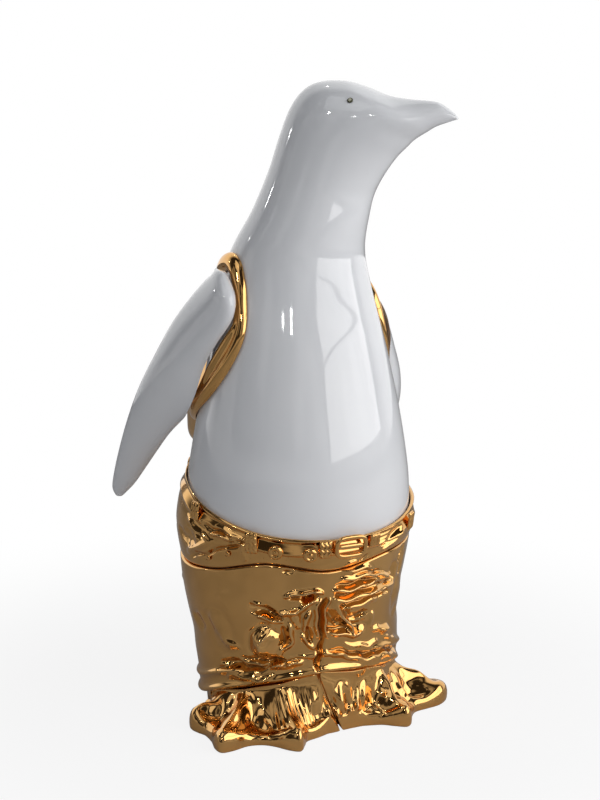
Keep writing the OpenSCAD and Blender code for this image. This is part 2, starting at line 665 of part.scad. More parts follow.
// Foot section along a ray: up the leg, down the instep and round the rim to the table
instep_shares = [[0.06, 0.93], [0.16, 0.74], [0.3, 0.5], [0.45, 0.29], [0.6, 0.14], [0.75, 0.04], [0.88, 0]];
rim_sections = [[0.96, 0.84], [1, 0.5], [0.99, 0.12], [0.975, 0]];
function foot_section(ankle, row) =
    let (
        a = row[0],
        dir = [sin(a), -cos(a), 0],
        hip = function (z)
            [ankle.x + row[3]*(cleft_x - cleft_lean*z + 2*sign(ankle.x)*gap - ankle.x), ankle.y, 0],
        touch = hip(0) + dir*leg_exit(hip(0), a, 0),
        top_z = hem_h(atan2(touch.x, -touch.y)) - gap,
        high = leg_exit(hip(top_z), a, top_z),
        over = max(web_t/2, toe_reach*row[1] - high),
        rim_z = web_t + row[2]*(toe_h - web_t),
        up = [for (z = [0, top_z/2, top_z]) [leg_exit(hip(z), a, z), z]],
        down = concat(
            [for (s = instep_shares) [s[0], min(top_z, rim_z + max(0, top_z - rim_z)*s[1])]],
            [for (s = rim_sections) [s[0], min(top_z, rim_z)*s[1]]]))
    concat(
        [for (p = up) hip(p[1]) + dir*p[0] + [0, 0, p[1]]],
        [for (p = down) hip(p[1]) + dir*(leg_exit(hip(p[1]), a, top_z) + over*p[0]) + [0, 0, p[1]]]);

module foot(ankle, toe_shares) {
    steps = 2*(len(toe_shares) - 1);
    color("gold") skin([for (i = [0:steps]) foot_section(ankle, curve(toe_shares, i/2))]);
}

module right_foot() { foot([-ankle_x, -ankle_y], right_toe_shares); }
module left_foot() { foot([ankle_x, -ankle_y], left_toe_shares); }

body_shell();
right_eye();
left_eye();
right_flipper();
left_flipper();
right_strap();
left_strap();
rucksack_vessel();
trousers_shell();
waistband();
belt_loops();
belt_buckle();
belt_studs();
pocket_rivets();
right_foot();
left_foot();
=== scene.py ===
import bpy
import bmesh
import math
import numpy as np
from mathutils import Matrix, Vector


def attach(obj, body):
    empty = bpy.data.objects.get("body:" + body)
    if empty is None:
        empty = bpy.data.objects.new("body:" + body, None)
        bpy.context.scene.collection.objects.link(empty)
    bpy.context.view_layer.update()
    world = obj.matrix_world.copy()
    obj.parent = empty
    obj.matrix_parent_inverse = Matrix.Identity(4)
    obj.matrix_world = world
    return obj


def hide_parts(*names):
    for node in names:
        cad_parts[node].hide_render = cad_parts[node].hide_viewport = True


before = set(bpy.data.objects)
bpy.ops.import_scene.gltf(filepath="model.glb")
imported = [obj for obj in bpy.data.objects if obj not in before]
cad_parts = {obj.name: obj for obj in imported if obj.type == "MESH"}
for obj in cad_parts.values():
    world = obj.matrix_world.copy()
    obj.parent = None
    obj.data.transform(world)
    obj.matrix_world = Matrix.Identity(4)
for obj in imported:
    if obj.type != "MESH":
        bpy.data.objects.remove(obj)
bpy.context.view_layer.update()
print("frame loaded:", len(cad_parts), "nodes")

# Lengths below are in millimetres and angles in degrees, as on the drawing
millimetre = 0.001
seamWidth = 2e-6  # metres within which a skin's edges join


# Small helpers for smooth curves through rows of a table

def smoothBetween(a, b, c, d, f):
    return 0.5 * (2 * b + (c - a) * f + (2 * a - 5 * b + 4 * c - d) * f * f + (3 * b - a - 3 * c + d) * f ** 3)


def rowsAt(rows, t):
    # rows part way between the rows of a table, on a smooth curve; past the ends the last step goes on
    rows = np.array(rows, float)
    t = np.atleast_1d(np.array(t, float))
    padded = np.vstack([2 * rows[0] - rows[1], rows, 2 * rows[-1] - rows[-2]])
    i = np.clip(np.floor(t), 0, len(rows) - 2).astype(int)
    f = (t - i)[:, None]
    return smoothBetween(padded[i], padded[i + 1], padded[i + 2], padded[i + 3], f)


def aroundAt(values, angle):
    # a closed smooth curve through values at equal angles
    values = np.array(values, float)
    n = len(values)
    t = np.mod(np.array(angle, float) / 360, 1) * n
    i = np.floor(t).astype(int)
    return smoothBetween(values[(i - 1) % n], values[i % n], values[(i + 1) % n], values[(i + 2) % n], t - i)


def easeIn(v, low=0.0, high=1.0):
    f = np.clip((v - low) / (high - low), 0, 1)
    return f * f * (3 - 2 * f)


def sinD(a):
    return np.sin(np.radians(a))


def cosD(a):
    return np.cos(np.radians(a))


def points(x, y, z):
    return np.stack(np.broadcast_arrays(x, y, z), axis=-1)


def turned(p, a):
    return points(p[..., 0] * cosD(a) - p[..., 1] * sinD(a), p[..., 0] * sinD(a) + p[..., 1] * cosD(a), p[..., 2])


def unit(v):
    return v / np.linalg.norm(v, axis=-1, keepdims=True)


def skinned(rings, outward=True):
    # a grid whose columns go round the piece and whose rows follow the rings, closed where they meet
    rings = np.array(rings, float)
    rows, columns = rings.shape[:2]
    bm = bmesh.new()
    bmesh.ops.create_grid(bm, x_segments=columns - 1, y_segments=rows - 1, size=0.5)
    uvMap = bm.loops.layers.uv.new("wrap")
    for face in bm.faces:
        for loop in face.loops:
            loop[uvMap].uv = (loop.vert.co.x + 0.5, loop.vert.co.y + 0.5)
    for v in bm.verts:
        column, row = round((v.co.x + 0.5) * (columns - 1)), round((v.co.y + 0.5) * (rows - 1))
        v.co = rings[row, column] * millimetre
    bmesh.ops.remove_doubles(bm, verts=bm.verts, dist=seamWidth)
    if outward:
        bmesh.ops.recalc_face_normals(bm, faces=bm.faces)
    return bm


def closedEnds(rings):
    # both ends drawn together to a point
    rings = np.array(rings, float)
    ends = [np.repeat(rings[i][:-1].mean(axis=0)[None], rings.shape[1], axis=0)[None] for i in (0, -1)]
    return np.concatenate([ends[0], rings, ends[1]])


def relaxed(bm, times):
    for _ in range(times):
        bmesh.ops.smooth_vert(bm, verts=bm.verts, factor=0.5, use_axis_x=True, use_axis_y=True, use_axis_z=True)


def alongCurve(table, steps):
    # rows at even steps along the whole table
    return rowsAt(table, np.linspace(0, len(table) - 1, steps))


def alongRows(table, perRow):
    return alongCurve(table, (len(table) - 1) * perRow + 1)


def betweenShares(table, v):
    return np.interp(v, [r[0] for r in table], [r[1] for r in table])


def linked(name, data):
    thing = bpy.data.objects.new(name, data)
    bpy.context.scene.collection.objects.link(thing)
    return thing


def finished(bm, name, finish, *nodes):
    # turns a bmesh into a smooth piece that rides on the root and stands for its nodes
    material, slot = finish
    mesh = bpy.data.meshes.new(name)
    for face in bm.faces:
        face.smooth = True
    bm.to_mesh(mesh)
    bm.free()
    piece = linked(name, mesh)
    mesh.materials.append(material)
    subdivision = piece.modifiers.new("smooth", "SUBSURF")
    subdivision.levels = 1
    subdivision.render_levels = 1
    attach(piece, "root")
    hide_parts(*nodes)


# Camera, at the photograph's angle

cameraSettings = {
    "azimuth": -17.0, "distance": 1080.0, "height": 427.0, "pitch": 10.7, "lens": 69.12, "sensor": 36.0,
    "offset": 2.8,
}


def addCamera(settings):
    a, p = math.radians(settings["azimuth"]), math.radians(settings["pitch"])
    data = bpy.data.cameras.new("camera")
    data.lens, data.sensor_width, data.sensor_fit = settings["lens"], settings["sensor"], "AUTO"
    camera = linked("camera", data)
    across = Vector((math.cos(a), math.sin(a), 0)) * settings["offset"]
    back = Vector((math.sin(a), -math.cos(a), 0))
    camera.location = (back * settings["distance"] + across + Vector((0, 0, settings["height"]))) * millimetre
    look = (-back * math.cos(p)) + Vector((0, 0, -math.sin(p)))
    camera.rotation_mode = "QUATERNION"
    camera.rotation_quaternion = look.to_track_quat("-Z", "Y")
    bpy.context.scene.camera = camera


addCamera(cameraSettings)
bpy.context.scene.view_settings.view_transform = "Standard"
print("camera set")


# Shader nodes that the finishes share

def addNode(tree, kind, settings=None, **inputs):
    # an input is given by its label, or as i and its number
    node = tree.nodes.new(kind)
    for key, value in (settings or {}).items():
        setattr(node, key, value)
    for key, value in inputs.items():
        socket = node.inputs[int(key[1:])] if key[0] == "i" and key[1:].isdigit() else node.inputs[key]
        if isinstance(value, bpy.types.NodeSocket):
            tree.links.new(value, socket)
        else:
            socket.default_value = value
    return node


def ramp(tree, value, low, high, start=0.0, end=1.0, kind="SMOOTHSTEP"):
    return addNode(tree, "ShaderNodeMapRange", {"interpolation_type": kind},
                   i0=value, i1=low, i2=high, i3=start, i4=end).outputs[0]


def blend(tree, share, first, second):
    return addNode(tree, "ShaderNodeMix", {"data_type": "RGBA"}, i0=share, i6=first, i7=second).outputs[2]


def maths(tree, operation, first, second):
    return addNode(tree, "ShaderNodeMath", {"operation": operation}, i0=first, i1=second).outputs[0]


def noise(tree, place, scale, detail, **more):
    return addNode(tree, "ShaderNodeTexNoise", None, Vector=place, Scale=scale, Detail=detail, **more).outputs["Fac"]


def dots(tree, place, scale, inner, outer):
    # a round spot in each cell
    cells = addNode(tree, "ShaderNodeTexVoronoi", {"feature": "F1"}, Vector=place, Scale=scale)
    return ramp(tree, cells.outputs["Distance"], inner, outer, 1.0, 0.0)


def objectPlace(tree):
    return tree.nodes.new("ShaderNodeTexCoord").outputs["Object"]


def newGroup(name, inputs, outputs):
    group = bpy.data.node_groups.new(name, "ShaderNodeTree")
    for label, default in inputs.items():
        group.interface.new_socket(label, in_out="INPUT", socket_type="NodeSocketFloat").default_value = default
    for label in outputs:
        group.interface.new_socket(label, in_out="OUTPUT", socket_type="NodeSocketFloat")
    return group, group.nodes.new("NodeGroupInput").outputs, group.nodes.new("NodeGroupOutput").inputs


# scales count the cells in a metre, and ranges are where a mask starts and ends
grainSettings = {
    "waveRoughness": 0.45, "pitScale": 170.0, "pitRange": (0.05, 0.13), "rareScale": 45.0, "rareRange": (0.60, 0.66),
    "streakStretch": (1.0, 1.0, 0.16), "streakScale": 60.0, "streakRoughness": 0.6, "streakBend": 0.6,
    "patchScale": 14.0, "patchRoughness": 0.55, "speckScale": 420.0, "speckRange": (0.08, 0.16),
    "thinRange": (0.55, 0.68),
}


def makeRipple(s):
    # the faint waves that a dipped glaze keeps, with a few pinholes
    group, given, made = newGroup("glazeRipple", {"Wave size": 30.0, "Pinholes": 0.3}, ["Height"])
    place = objectPlace(group)
    wave = noise(group, place, given["Wave size"], 2.0, Roughness=s["waveRoughness"])
    rare = ramp(group, noise(group, place, s["rareScale"], 1.0), *s["rareRange"], kind="LINEAR")
    pits = maths(group, "MULTIPLY", dots(group, place, s["pitScale"], *s["pitRange"]), rare)
    deep = maths(group, "MULTIPLY", pits, given["Pinholes"])
    group.links.new(maths(group, "SUBTRACT", wave, deep), made["Height"])
    return group


def makeBrush(s):
    # streaks and thin patches left where the lustre was brushed on
    group, _, made = newGroup("lustreBrush", {}, ["Streaks", "Patches", "Specks"])
    place = objectPlace(group)
    stretched = addNode(group, "ShaderNodeMapping", None, Vector=place, Scale=s["streakStretch"]).outputs[0]
    streaks = noise(group, stretched, s["streakScale"], 4.0, Roughness=s["streakRoughness"],
                    Distortion=s["streakBend"])
    patches = noise(group, place, s["patchScale"], 3.0, Roughness=s["patchRoughness"])
    thin = ramp(group, patches, *s["thinRange"], kind="LINEAR")
    specks = maths(group, "MULTIPLY", dots(group, place, s["speckScale"], *s["speckRange"]), thin)
    for label, value in (("Streaks", streaks), ("Patches", patches), ("Specks", specks)):
        group.links.new(value, made[label])
    return group


glazeRipple = makeRipple(grainSettings)
lustreBrush = makeBrush(grainSettings)


def newMaterial(name):
    material = bpy.data.materials.new(name)
    material.use_nodes = True
    tree = material.node_tree
    for node in list(tree.nodes):
        tree.nodes.remove(node)
    shader = tree.nodes.new("ShaderNodeBsdfPrincipled")
    output = tree.nodes.new("ShaderNodeOutputMaterial")
    tree.links.new(shader.outputs[0], output.inputs["Surface"])
    return material, tree, shader


def setConstants(shader, constants):
    for label, value in constants.items():
        shader.inputs[label].default_value = value


def rippled(tree, s):
    return addNode(tree, "ShaderNodeGroup", {"node_tree": glazeRipple},
                   **{"Wave size": s["waveScale"], "Pinholes": s["pinholes"]}).outputs["Height"]


def surfaced(tree, shader, s, colour, height):
    # what every finish has: its colour, fine relief and constant values
    tree.links.new(colour, shader.inputs["Base Color"])
    bump = addNode(tree, "ShaderNodeBump", None, Height=height, Strength=s["bump"], Distance=s["bumpDepth"])
    tree.links.new(bump.outputs[0], shader.inputs["Normal"])
    setConstants(shader, s["constants"])


def unevenGloss(tree, shader, s, cause):
    rough = ramp(tree, cause, *s["glossRange"], s["roughness"], s["roughness"] + s["roughnessSpread"], "LINEAR")
    tree.links.new(rough, shader.inputs["Roughness"])


glazeSettings = {
    "colour": (0.80, 0.81, 0.83, 1), "pooled": (0.70, 0.72, 0.76, 1), "pooledRange": (0.35, 0.75, 0.0, 0.35),
    "cloudScale": 11.0, "waveScale": 26.0, "pinholes": 0.25, "bump": 0.10, "bumpDepth": 0.0012,
    "roughness": 0.05, "roughnessSpread": 0.05, "glossRange": (0.3, 0.8),
    "constants": {"IOR": 1.52, "Coat Weight": 0.6, "Coat Roughness": 0.02},
}
lustreSettings = {
    # the darkest colour is painted shade in the creases, partly also lustre that pooled there
    "colour": (0.82, 0.47, 0.17, 1), "thick": (0.64, 0.32, 0.09, 1), "creaseShadeAndPool": (0.17, 0.062, 0.013, 1),
    "rubbed": (0.93, 0.70, 0.40, 1), "speck": (0.30, 0.14, 0.05, 1), "thickRange": (0.40, 0.75, 0.0, 0.35),
    "creaseShadeAndPoolRange": (0.41, 0.492, 0.95, 0.0), "rubbedRange": (0.52, 0.60, 0.0, 0.55),
    "waveScale": 38.0, "pinholes": 0.3, "bump": 0.16, "bumpDepth": 0.0015,
    "roughness": 0.045, "roughnessSpread": 0.09, "glossRange": (0.3, 0.8), "constants": {"Metallic": 1.0},
}


def makeGlaze(s):
    material, tree, shader = newMaterial("whiteGlaze")
    cloud = noise(tree, objectPlace(tree), s["cloudScale"], 3.0)
    pooled = ramp(tree, cloud, *s["pooledRange"], "LINEAR")
    surfaced(tree, shader, s, blend(tree, pooled, s["colour"], s["pooled"]), rippled(tree, s))
    unevenGloss(tree, shader, s, cloud)
    return material


def makeLustre(s):
    # gold that is darker in the creases, partly lustre pooled there and partly painted shade, and paler on the rubbed
    # edges
    material, tree, shader = newMaterial("goldLustre")
    brush = addNode(tree, "ShaderNodeGroup", {"node_tree": lustreBrush}).outputs
    form = tree.nodes.new("ShaderNodeNewGeometry").outputs["Pointiness"]
    colour = blend(tree, ramp(tree, brush["Patches"], *s["thickRange"], "LINEAR"), s["colour"], s["thick"])
    # painted shade: concave spots darken to a deep brown, partly also lustre that pooled there
    colour = blend(tree, ramp(tree, form, *s["creaseShadeAndPoolRange"]), colour, s["creaseShadeAndPool"])
    colour = blend(tree, ramp(tree, form, *s["rubbedRange"]), colour, s["rubbed"])
    surfaced(tree, shader, s, blend(tree, brush["Specks"], colour, s["speck"]), rippled(tree, s))
    unevenGloss(tree, shader, s, brush["Streaks"])
    return material


glaze = (makeGlaze(glazeSettings), "white_glaze")
gold = (makeLustre(lustreSettings), "gold_lustre")
print("finishes made")


# Studio: pale floor, a soft room and soft boxes; places here are in metres

studioSettings = {
    "floor": (0.78, 0.78, 0.79, 1), "floorSize": 8.0, "floorConstants": {"Roughness": 0.8, "Specular IOR Level": 0.1},
    # how white the camera sees the floor, near the object and away from it
    "whiteRange": (0.16, 0.50, 0.86, 1.0),
    # the floor in a mirror
    "mirrorDark": (0.42, 0.41, 0.40, 1), "mirrorPale": (0.58, 0.57, 0.56, 1), "wearScale": 5.0, "wearRange": (0.3, 0.7),
    # the room that lights the object, turned to the camera
    "roomTurn": 17, "roomLeft": (0.070, 0.072, 0.075, 1), "roomRight": (0.44, 0.45, 0.47, 1), "sideRange": (-0.3, 0.9),
    "ceiling": (0.24, 0.245, 0.255, 1), "ceilingRange": (0.3, 0.9),
    # what polished gold mirrors: a dim room with pale patches, a pale floor line and the white backdrop
    "dim": (0.030, 0.026, 0.022, 1), "patch": (0.42, 0.41, 0.40, 1), "patchScale": 2.6, "patchRange": (0.55, 0.63),
    "skylineRange": (0.01, 0.07, 1.0, 0.0), "backdrop": (1.0, 1.0, 1.0, 1), "behindRange": (0.25, 0.55),
    # angle from the front towards the penguin's left, elevation, distance, width, height, watts, colour
    "lampsLookAt": 0.24,
    "lamps": {
        "windowTop": (51, 31, 1.7, 2.20, 0.69, 10.4, (1.0, 0.99, 0.98)),
        "windowLow": (51, 9, 1.7, 2.20, 0.56, 8.4, (1.0, 0.99, 0.98)),
        "skylight": (-55, 62, 2.0, 1.3, 1.3, 4.5, (0.97, 0.985, 1.0)),
        "bulbA": (-23, 26, 2.2, 0.09, 0.09, 1.0, (1.0, 1.0, 1.0)),
        "bulbB": (-35, 27, 2.2, 0.09, 0.09, 1.0, (1.0, 1.0, 1.0)),
        "bulbC": (-67, 38, 2.2, 0.08, 0.10, 1.0, (1.0, 1.0, 1.0)),
        "bulbD": (-128, 22, 2.2, 0.05, 0.05, 0.3, (1.0, 1.0, 1.0)),
        "bulbE": (178, 55, 2.2, 0.05, 0.05, 0.3, (1.0, 1.0, 1.0)),
    },
}


def addFloor(s):
    bm = bmesh.new()
    bmesh.ops.create_grid(bm, x_segments=1, y_segments=1, size=s["floorSize"] / 2)
    mesh = bpy.data.meshes.new("floor")
    bm.to_mesh(mesh)
    bm.free()
    floor = linked("floor", mesh)
    material, tree, shader = newMaterial("paleFloor")
    setConstants(shader, s["floorConstants"])
    place, ray = objectPlace(tree), tree.nodes.new("ShaderNodeLightPath").outputs
    wear = ramp(tree, noise(tree, place, s["wearScale"], 2.0), *s["wearRange"], kind="LINEAR")
    mirrored = blend(tree, wear, s["mirrorDark"], s["mirrorPale"])
    tree.links.new(blend(tree, ray["Is Glossy Ray"], s["floor"], mirrored), shader.inputs["Base Color"])
    # the camera sees a floor that turns white away from the object, and keeps the shadow near it
    away = addNode(tree, "ShaderNodeVectorMath", {"operation": "LENGTH"}, i0=place).outputs["Value"]
    white = maths(tree, "MULTIPLY", ramp(tree, away, *s["whiteRange"]), ray["Is Camera Ray"])
    glow = addNode(tree, "ShaderNodeEmission", None, Color=(1, 1, 1, 1), Strength=1.0)
    seen = addNode(tree, "ShaderNodeMixShader", None, i0=white, i1=shader.outputs[0], i2=glow.outputs[0])
    output = next(n for n in tree.nodes if n.type == "OUTPUT_MATERIAL")
    tree.links.new(seen.outputs[0], output.inputs["Surface"])
    mesh.materials.append(material)


def addRoom(s):
    world = bpy.data.worlds.new("room")
    bpy.context.scene.world = world
    world.use_nodes = True
    tree = world.node_tree
    place = tree.nodes.new("ShaderNodeTexCoord").outputs["Generated"]
    facing = addNode(tree, "ShaderNodeMapping", {"vector_type": "POINT"}, Vector=place,
                     Rotation=(0, 0, math.radians(s["roomTurn"]))).outputs[0]
    parts = addNode(tree, "ShaderNodeSeparateXYZ", None, Vector=facing).outputs
    walls = blend(tree, ramp(tree, parts["X"], *s["sideRange"]), s["roomLeft"], s["roomRight"])
    room = blend(tree, ramp(tree, parts["Z"], *s["ceilingRange"]), walls, s["ceiling"])
    # the room as polished gold and wet glaze mirror it
    cloud = noise(tree, facing, s["patchScale"], 1.5, Roughness=0.5, Distortion=0.4)
    mirrored = blend(tree, ramp(tree, cloud, *s["patchRange"]), s["dim"], s["patch"])
    mirrored = blend(tree, ramp(tree, parts["Z"], *s["skylineRange"]), mirrored, s["patch"])
    mirrored = blend(tree, ramp(tree, parts["Y"], *s["behindRange"]), mirrored, s["backdrop"])
    ray = tree.nodes.new("ShaderNodeLightPath").outputs
    mirroring = maths(tree, "MAXIMUM", ray["Is Glossy Ray"], ray["Is Transmission Ray"])
    seen = blend(tree, ray["Is Camera Ray"], blend(tree, mirroring, room, mirrored), (1, 1, 1, 1))
    tree.links.new(seen, tree.nodes["Background"].inputs["Color"])


def addLamps(s):
    for name, (angle, elevation, distance, width, height, watts, colour) in s["lamps"].items():
        data = bpy.data.lights.new(name, "AREA")
        data.shape, data.size, data.size_y, data.energy, data.color = "RECTANGLE", width, height, watts, colour
        lamp = linked(name, data)
        a, e = math.radians(angle), math.radians(elevation)
        out = Vector((math.sin(a) * math.cos(e), -math.cos(a) * math.cos(e), math.sin(e)))
        lamp.location = out * distance + Vector((0, 0, s["lampsLookAt"]))
        lamp.rotation_mode = "QUATERNION"
        lamp.rotation_quaternion = out.to_track_quat("Z", "Y")


addFloor(studioSettings)
addRoom(studioSettings)
addLamps(studioSettings)
print("studio lit")


# The glazed body: belly, neck, head and beak in one skin

bodySettings = {
    "crown": 447, "neck": 355, "seat": 112, "bellyWidth": 163, "bellyDepth": 158, "wall": 5,
    "chestTurn": 8, "headTurn": 53, "beakReach": 115, "headWidth": 76,
    # half width, half depth, shift towards the beak, turn from chest to head
    "torso": [
        [0.9, 0.9, 0, 0], [0.992, 0.992, 0.012, 0], [0.985, 0.985, 0.028, 0],
        [0.94, 0.94, 0.038, 0], [0.882, 0.882, 0.04, 0], [0.814, 0.814, 0.036, 0],
        [0.74, 0.743, 0.028, 0], [0.664, 0.672, 0.006, 0], [0.59, 0.6, 0.01, 0.4],
        [0.508, 0.532, 0.092, 0.8],
    ],
    # back reach and height, front reach and height, half width, fullness of the front
    "head": [
        [-0.218, 0.157, 0.478, 0.14, 1.05, 0], [-0.152, 0.354, 0.516, 0.24, 0.99, 0],
        [-0.094, 0.58, 0.566, 0.338, 0.94, 0.02], [-0.028, 0.79, 0.628, 0.438, 0.9, 0.04],
        [0.05, 0.922, 0.682, 0.502, 0.86, 0.06], [0.153, 0.989, 0.727, 0.556, 0.8, 0.08],
        [0.31, 0.996, 0.776, 0.596, 0.71, 0.1], [0.44, 0.954, 0.815, 0.624, 0.6, 0.12],
        [0.576, 0.889, 0.851, 0.651, 0.465, 0.14], [0.704, 0.86, 0.888, 0.671, 0.34, 0.14],
        [0.819, 0.848, 0.925, 0.686, 0.245, 0.12], [0.891, 0.831, 0.955, 0.698, 0.18, 0.1],
        [0.951, 0.783, 0.982, 0.708, 0.115, 0.06], [0.997, 0.738, 1.005, 0.716, 0.05, 0],
    ],
    # how many sections at the beak's tip stay solid
    "solidSections": 5, "around": 96, "insideRows": 18, "rowsPerSection": 5,
}


def bodyStations(s):
    torso, head = np.array(s["torso"]), np.array(s["head"])
    z = np.linspace(s["seat"], s["neck"], len(torso))
    depth, middle = torso[:, 1] * s["bellyDepth"] / 2, torso[:, 2] * s["beakReach"]
    turn = s["chestTurn"] + torso[:, 3] * (s["headTurn"] - s["chestTurn"])
    lower = np.stack([middle - depth, z, middle + depth, z, torso[:, 0] * s["bellyWidth"] / 2, 0 * z, turn], axis=1)
    rise = s["crown"] - s["neck"]
    upper = np.stack([
        head[:, 0] * s["beakReach"], s["neck"] + head[:, 1] * rise,
        head[:, 2] * s["beakReach"], s["neck"] + head[:, 3] * rise,
        head[:, 4] * s["headWidth"] / 2, head[:, 5], 0 * head[:, 0] + s["headTurn"]], axis=1)
    return np.vstack([lower, upper])


bodyRows = bodyStations(bodySettings)
chestTurn, seat, neck = (bodySettings[key] for key in ("chestTurn", "seat", "neck"))
torsoSteps = len(bodySettings["torso"]) - 1


def sectionPoints(rows, u, grow=0.0):
    halfX, halfZ = (rows[:, 2] - rows[:, 0]) / 2, (rows[:, 3] - rows[:, 1]) / 2
    half = np.hypot(halfX, halfZ)
    far = (half + grow) / half * cosD(u)
    side = (rows[:, 4] + grow) * sinD(u) * (1 + rows[:, 5] * cosD(u))
    p = points(side, -((rows[:, 2] + rows[:, 0]) / 2 + halfX * far), (rows[:, 3] + rows[:, 1]) / 2 + halfZ * far)
    return turned(p, rows[:, 6])


def bodyPoints(t, u, grow=0.0):
    # spots on the body at t sections up and u degrees round from the chest
    t, u, grow = np.broadcast_arrays(np.array(t, float), np.array(u, float), grow)
    p = sectionPoints(rowsAt(bodyRows, t.ravel()), u.ravel(), grow.ravel())
    return p.reshape(t.shape + (3,))


def torsoAt(z):
    return (z - seat) / (neck - seat) * torsoSteps


def bodyNormals(t, u):
    across = bodyPoints(t, u + 1) - bodyPoints(t, u - 1)
    up = bodyPoints(t + 0.1, u) - bodyPoints(t - 0.1, u)
    return unit(np.cross(across, up))


def seated(centre, normal):
    # a place on a surface: its middle and its directions across, up and out
    across = unit(np.cross([0, 0, 1], normal))
    return centre, across, np.cross(normal, across), normal


def bodyRadius(z, u):
    p = bodyPoints(torsoAt(z), u)
    return np.hypot(p[..., 0], p[..., 1])


def buildBody(s):
    last = len(bodyRows) - 1
    down = np.linspace(last - s["solidSections"], 0, s["insideRows"])
    up = np.linspace(0, last, last * s["rowsPerSection"] + 1)
    angles = np.linspace(-180, 180, s["around"] + 1)
    rings = []
    for t, grow in [(t, -s["wall"]) for t in down] + [(t, 0.0) for t in up]:
        turn = rowsAt(bodyRows, t)[0, 6]
        rings.append(bodyPoints(t, angles - turn, grow))
    for i in (0, -1):
        rings[i][:] = rings[i][:-1].mean(axis=0)
    finished(skinned(rings, outward=False), "penguinBody", glaze, "body_shell")


buildBody(bodySettings)
print("body built")

# Straps: half-round bands from the rucksack over the shoulder and under the arm

strapSettings = {
    "width": 13, "rise": 5, "bedding": 0.4, "grooveAngle": 20, "underShares": [-0.96, -0.5, 0, 0.5, 0.96],
    # the room that a flipper leaves for a strap: rise, reach in half widths, and how soft its edge is
    "roomRise": 1.3, "roomReach": 1.9, "roomEdge": 0.4,
    "right": {"turn": 1, "back": 0, "lower": 0},
    "left": {"turn": -1, "back": 17, "lower": 8},
    # angle from the chest, height between seat and neck, width, rise, groove
    "path": [
        [-134, 0.77, 0.9, 0.9, 0], [-123, 0.845, 1, 1, 0], [-108, 0.872, 1, 1, 0],
        [-93, 0.86, 1, 1, 0], [-80, 0.828, 0.9, 1, 0], [-70, 0.792, 0.8, 1, 0],
        [-65, 0.75, 0.8, 1, 0.1], [-65, 0.705, 0.9, 1, 0.2], [-71, 0.649, 1.4, 1.1, 0.5],
        [-80.5, 0.578, 1.6, 1.2, 0.5], [-91, 0.513, 1.3, 1.2, 0.4], [-104, 0.458, 0.8, 1.1, 0.1],
        [-118, 0.42, 0.7, 1, 0], [-132, 0.395, 0.8, 1, 0],
    ],
    # how far both ends run on to the rucksack, in rows of the path, and the rings that this takes
    "overrunTop": 0.75, "overrunLow": 0.5, "overrunRows": 8, "rowsPerSection": 9, "across": 22,
}


def strapPath(s, side, t):
    # rows of the path with their angle from the chest and their height
    own, p = s[side], rowsAt(s["path"], t)
    middle = sinD(180 * np.clip(t / (len(s["path"]) - 1), 0, 1))
    return p, p[:, 0] - own["back"] * middle, seat + p[:, 1] * (neck - seat) - own["lower"] * middle


def strapLine(s, side):
    # a strap's path on the body laid flat, with half its width
    p, angle, z = strapPath(s, side, np.arange(len(s["path"])))
    return points(angle * bodySettings["bellyWidth"] * math.pi / 360, z, p[:, 2] * s["width"] / 2)


def strapRoom(s, line, z, angle):
    # room over the body, lifted where the strap lies
    q = np.stack([angle * bodySettings["bellyWidth"] * math.pi / 360, z], axis=-1)
    nearest = np.full(len(z), np.inf)
    for start, end in zip(line[:-1], line[1:]):
        along = end[:2] - start[:2]
        f = np.clip((q - start[:2]) @ along / (along @ along), 0, 1)
        away = np.linalg.norm(q - start[:2] - f[:, None] * along, axis=1)
        nearest = np.minimum(nearest, away / (start[2] + (end[2] - start[2]) * f))
    lifted = easeIn(s["roomReach"] - nearest, 0, s["roomEdge"])
    return 2 * s["bedding"] + (s["roomRise"] * s["rise"] + s["bedding"]) * lifted


# Flippers: a blade lofted from the shoulder to the tip

flipperSettings = {
    "shoulder": 321, "drop": 178, "reach": 100, "thickness": 25, "rootAngle": 94, "rootShare": 0.17, "sunkShare": 0.25,
    "right": {"bow": 9.5, "sweep": 53, "back": 0, "lower": 0},
    "left": {"bow": 21.5, "sweep": 50, "back": 21, "lower": 18},
    # outer reach and height, inner reach and height, half thickness, bow, shift of the inner edge to the front
    "sections": [
        [0.085, 0.992, -0.05, 0.992, 0.35, 0, 0.65], [0.11, 0.97, -0.1, 0.97, 0.75, 0, 0.75],
        [0.17, 0.94, -0.2, 0.895, 1, 0.15, 1],
        [0.28, 0.87, -0.185, 0.81, 1.04, 0.4, 0.9], [0.415, 0.77, -0.06, 0.71, 1, 0.65, 0.7],
        [0.57, 0.62, 0.055, 0.605, 0.92, 0.95, 0.45], [0.7, 0.49, 0.13, 0.475, 0.82, 1, 0.3],
        [0.825, 0.345, 0.435, 0.33, 0.72, 0.7, 0.05], [0.945, 0.19, 0.625, 0.215, 0.6, 0.2, 0],
        [1.025, 0.08, 0.82, 0.085, 0.44, -0.3, 0], [1.04, 0.035, 0.91, 0.035, 0.3, -0.45, 0],
        [1.015, 0.005, 0.97, 0.005, 0.12, -0.5, 0],
    ],
    "around": 56, "rowsPerSection": 6,
}


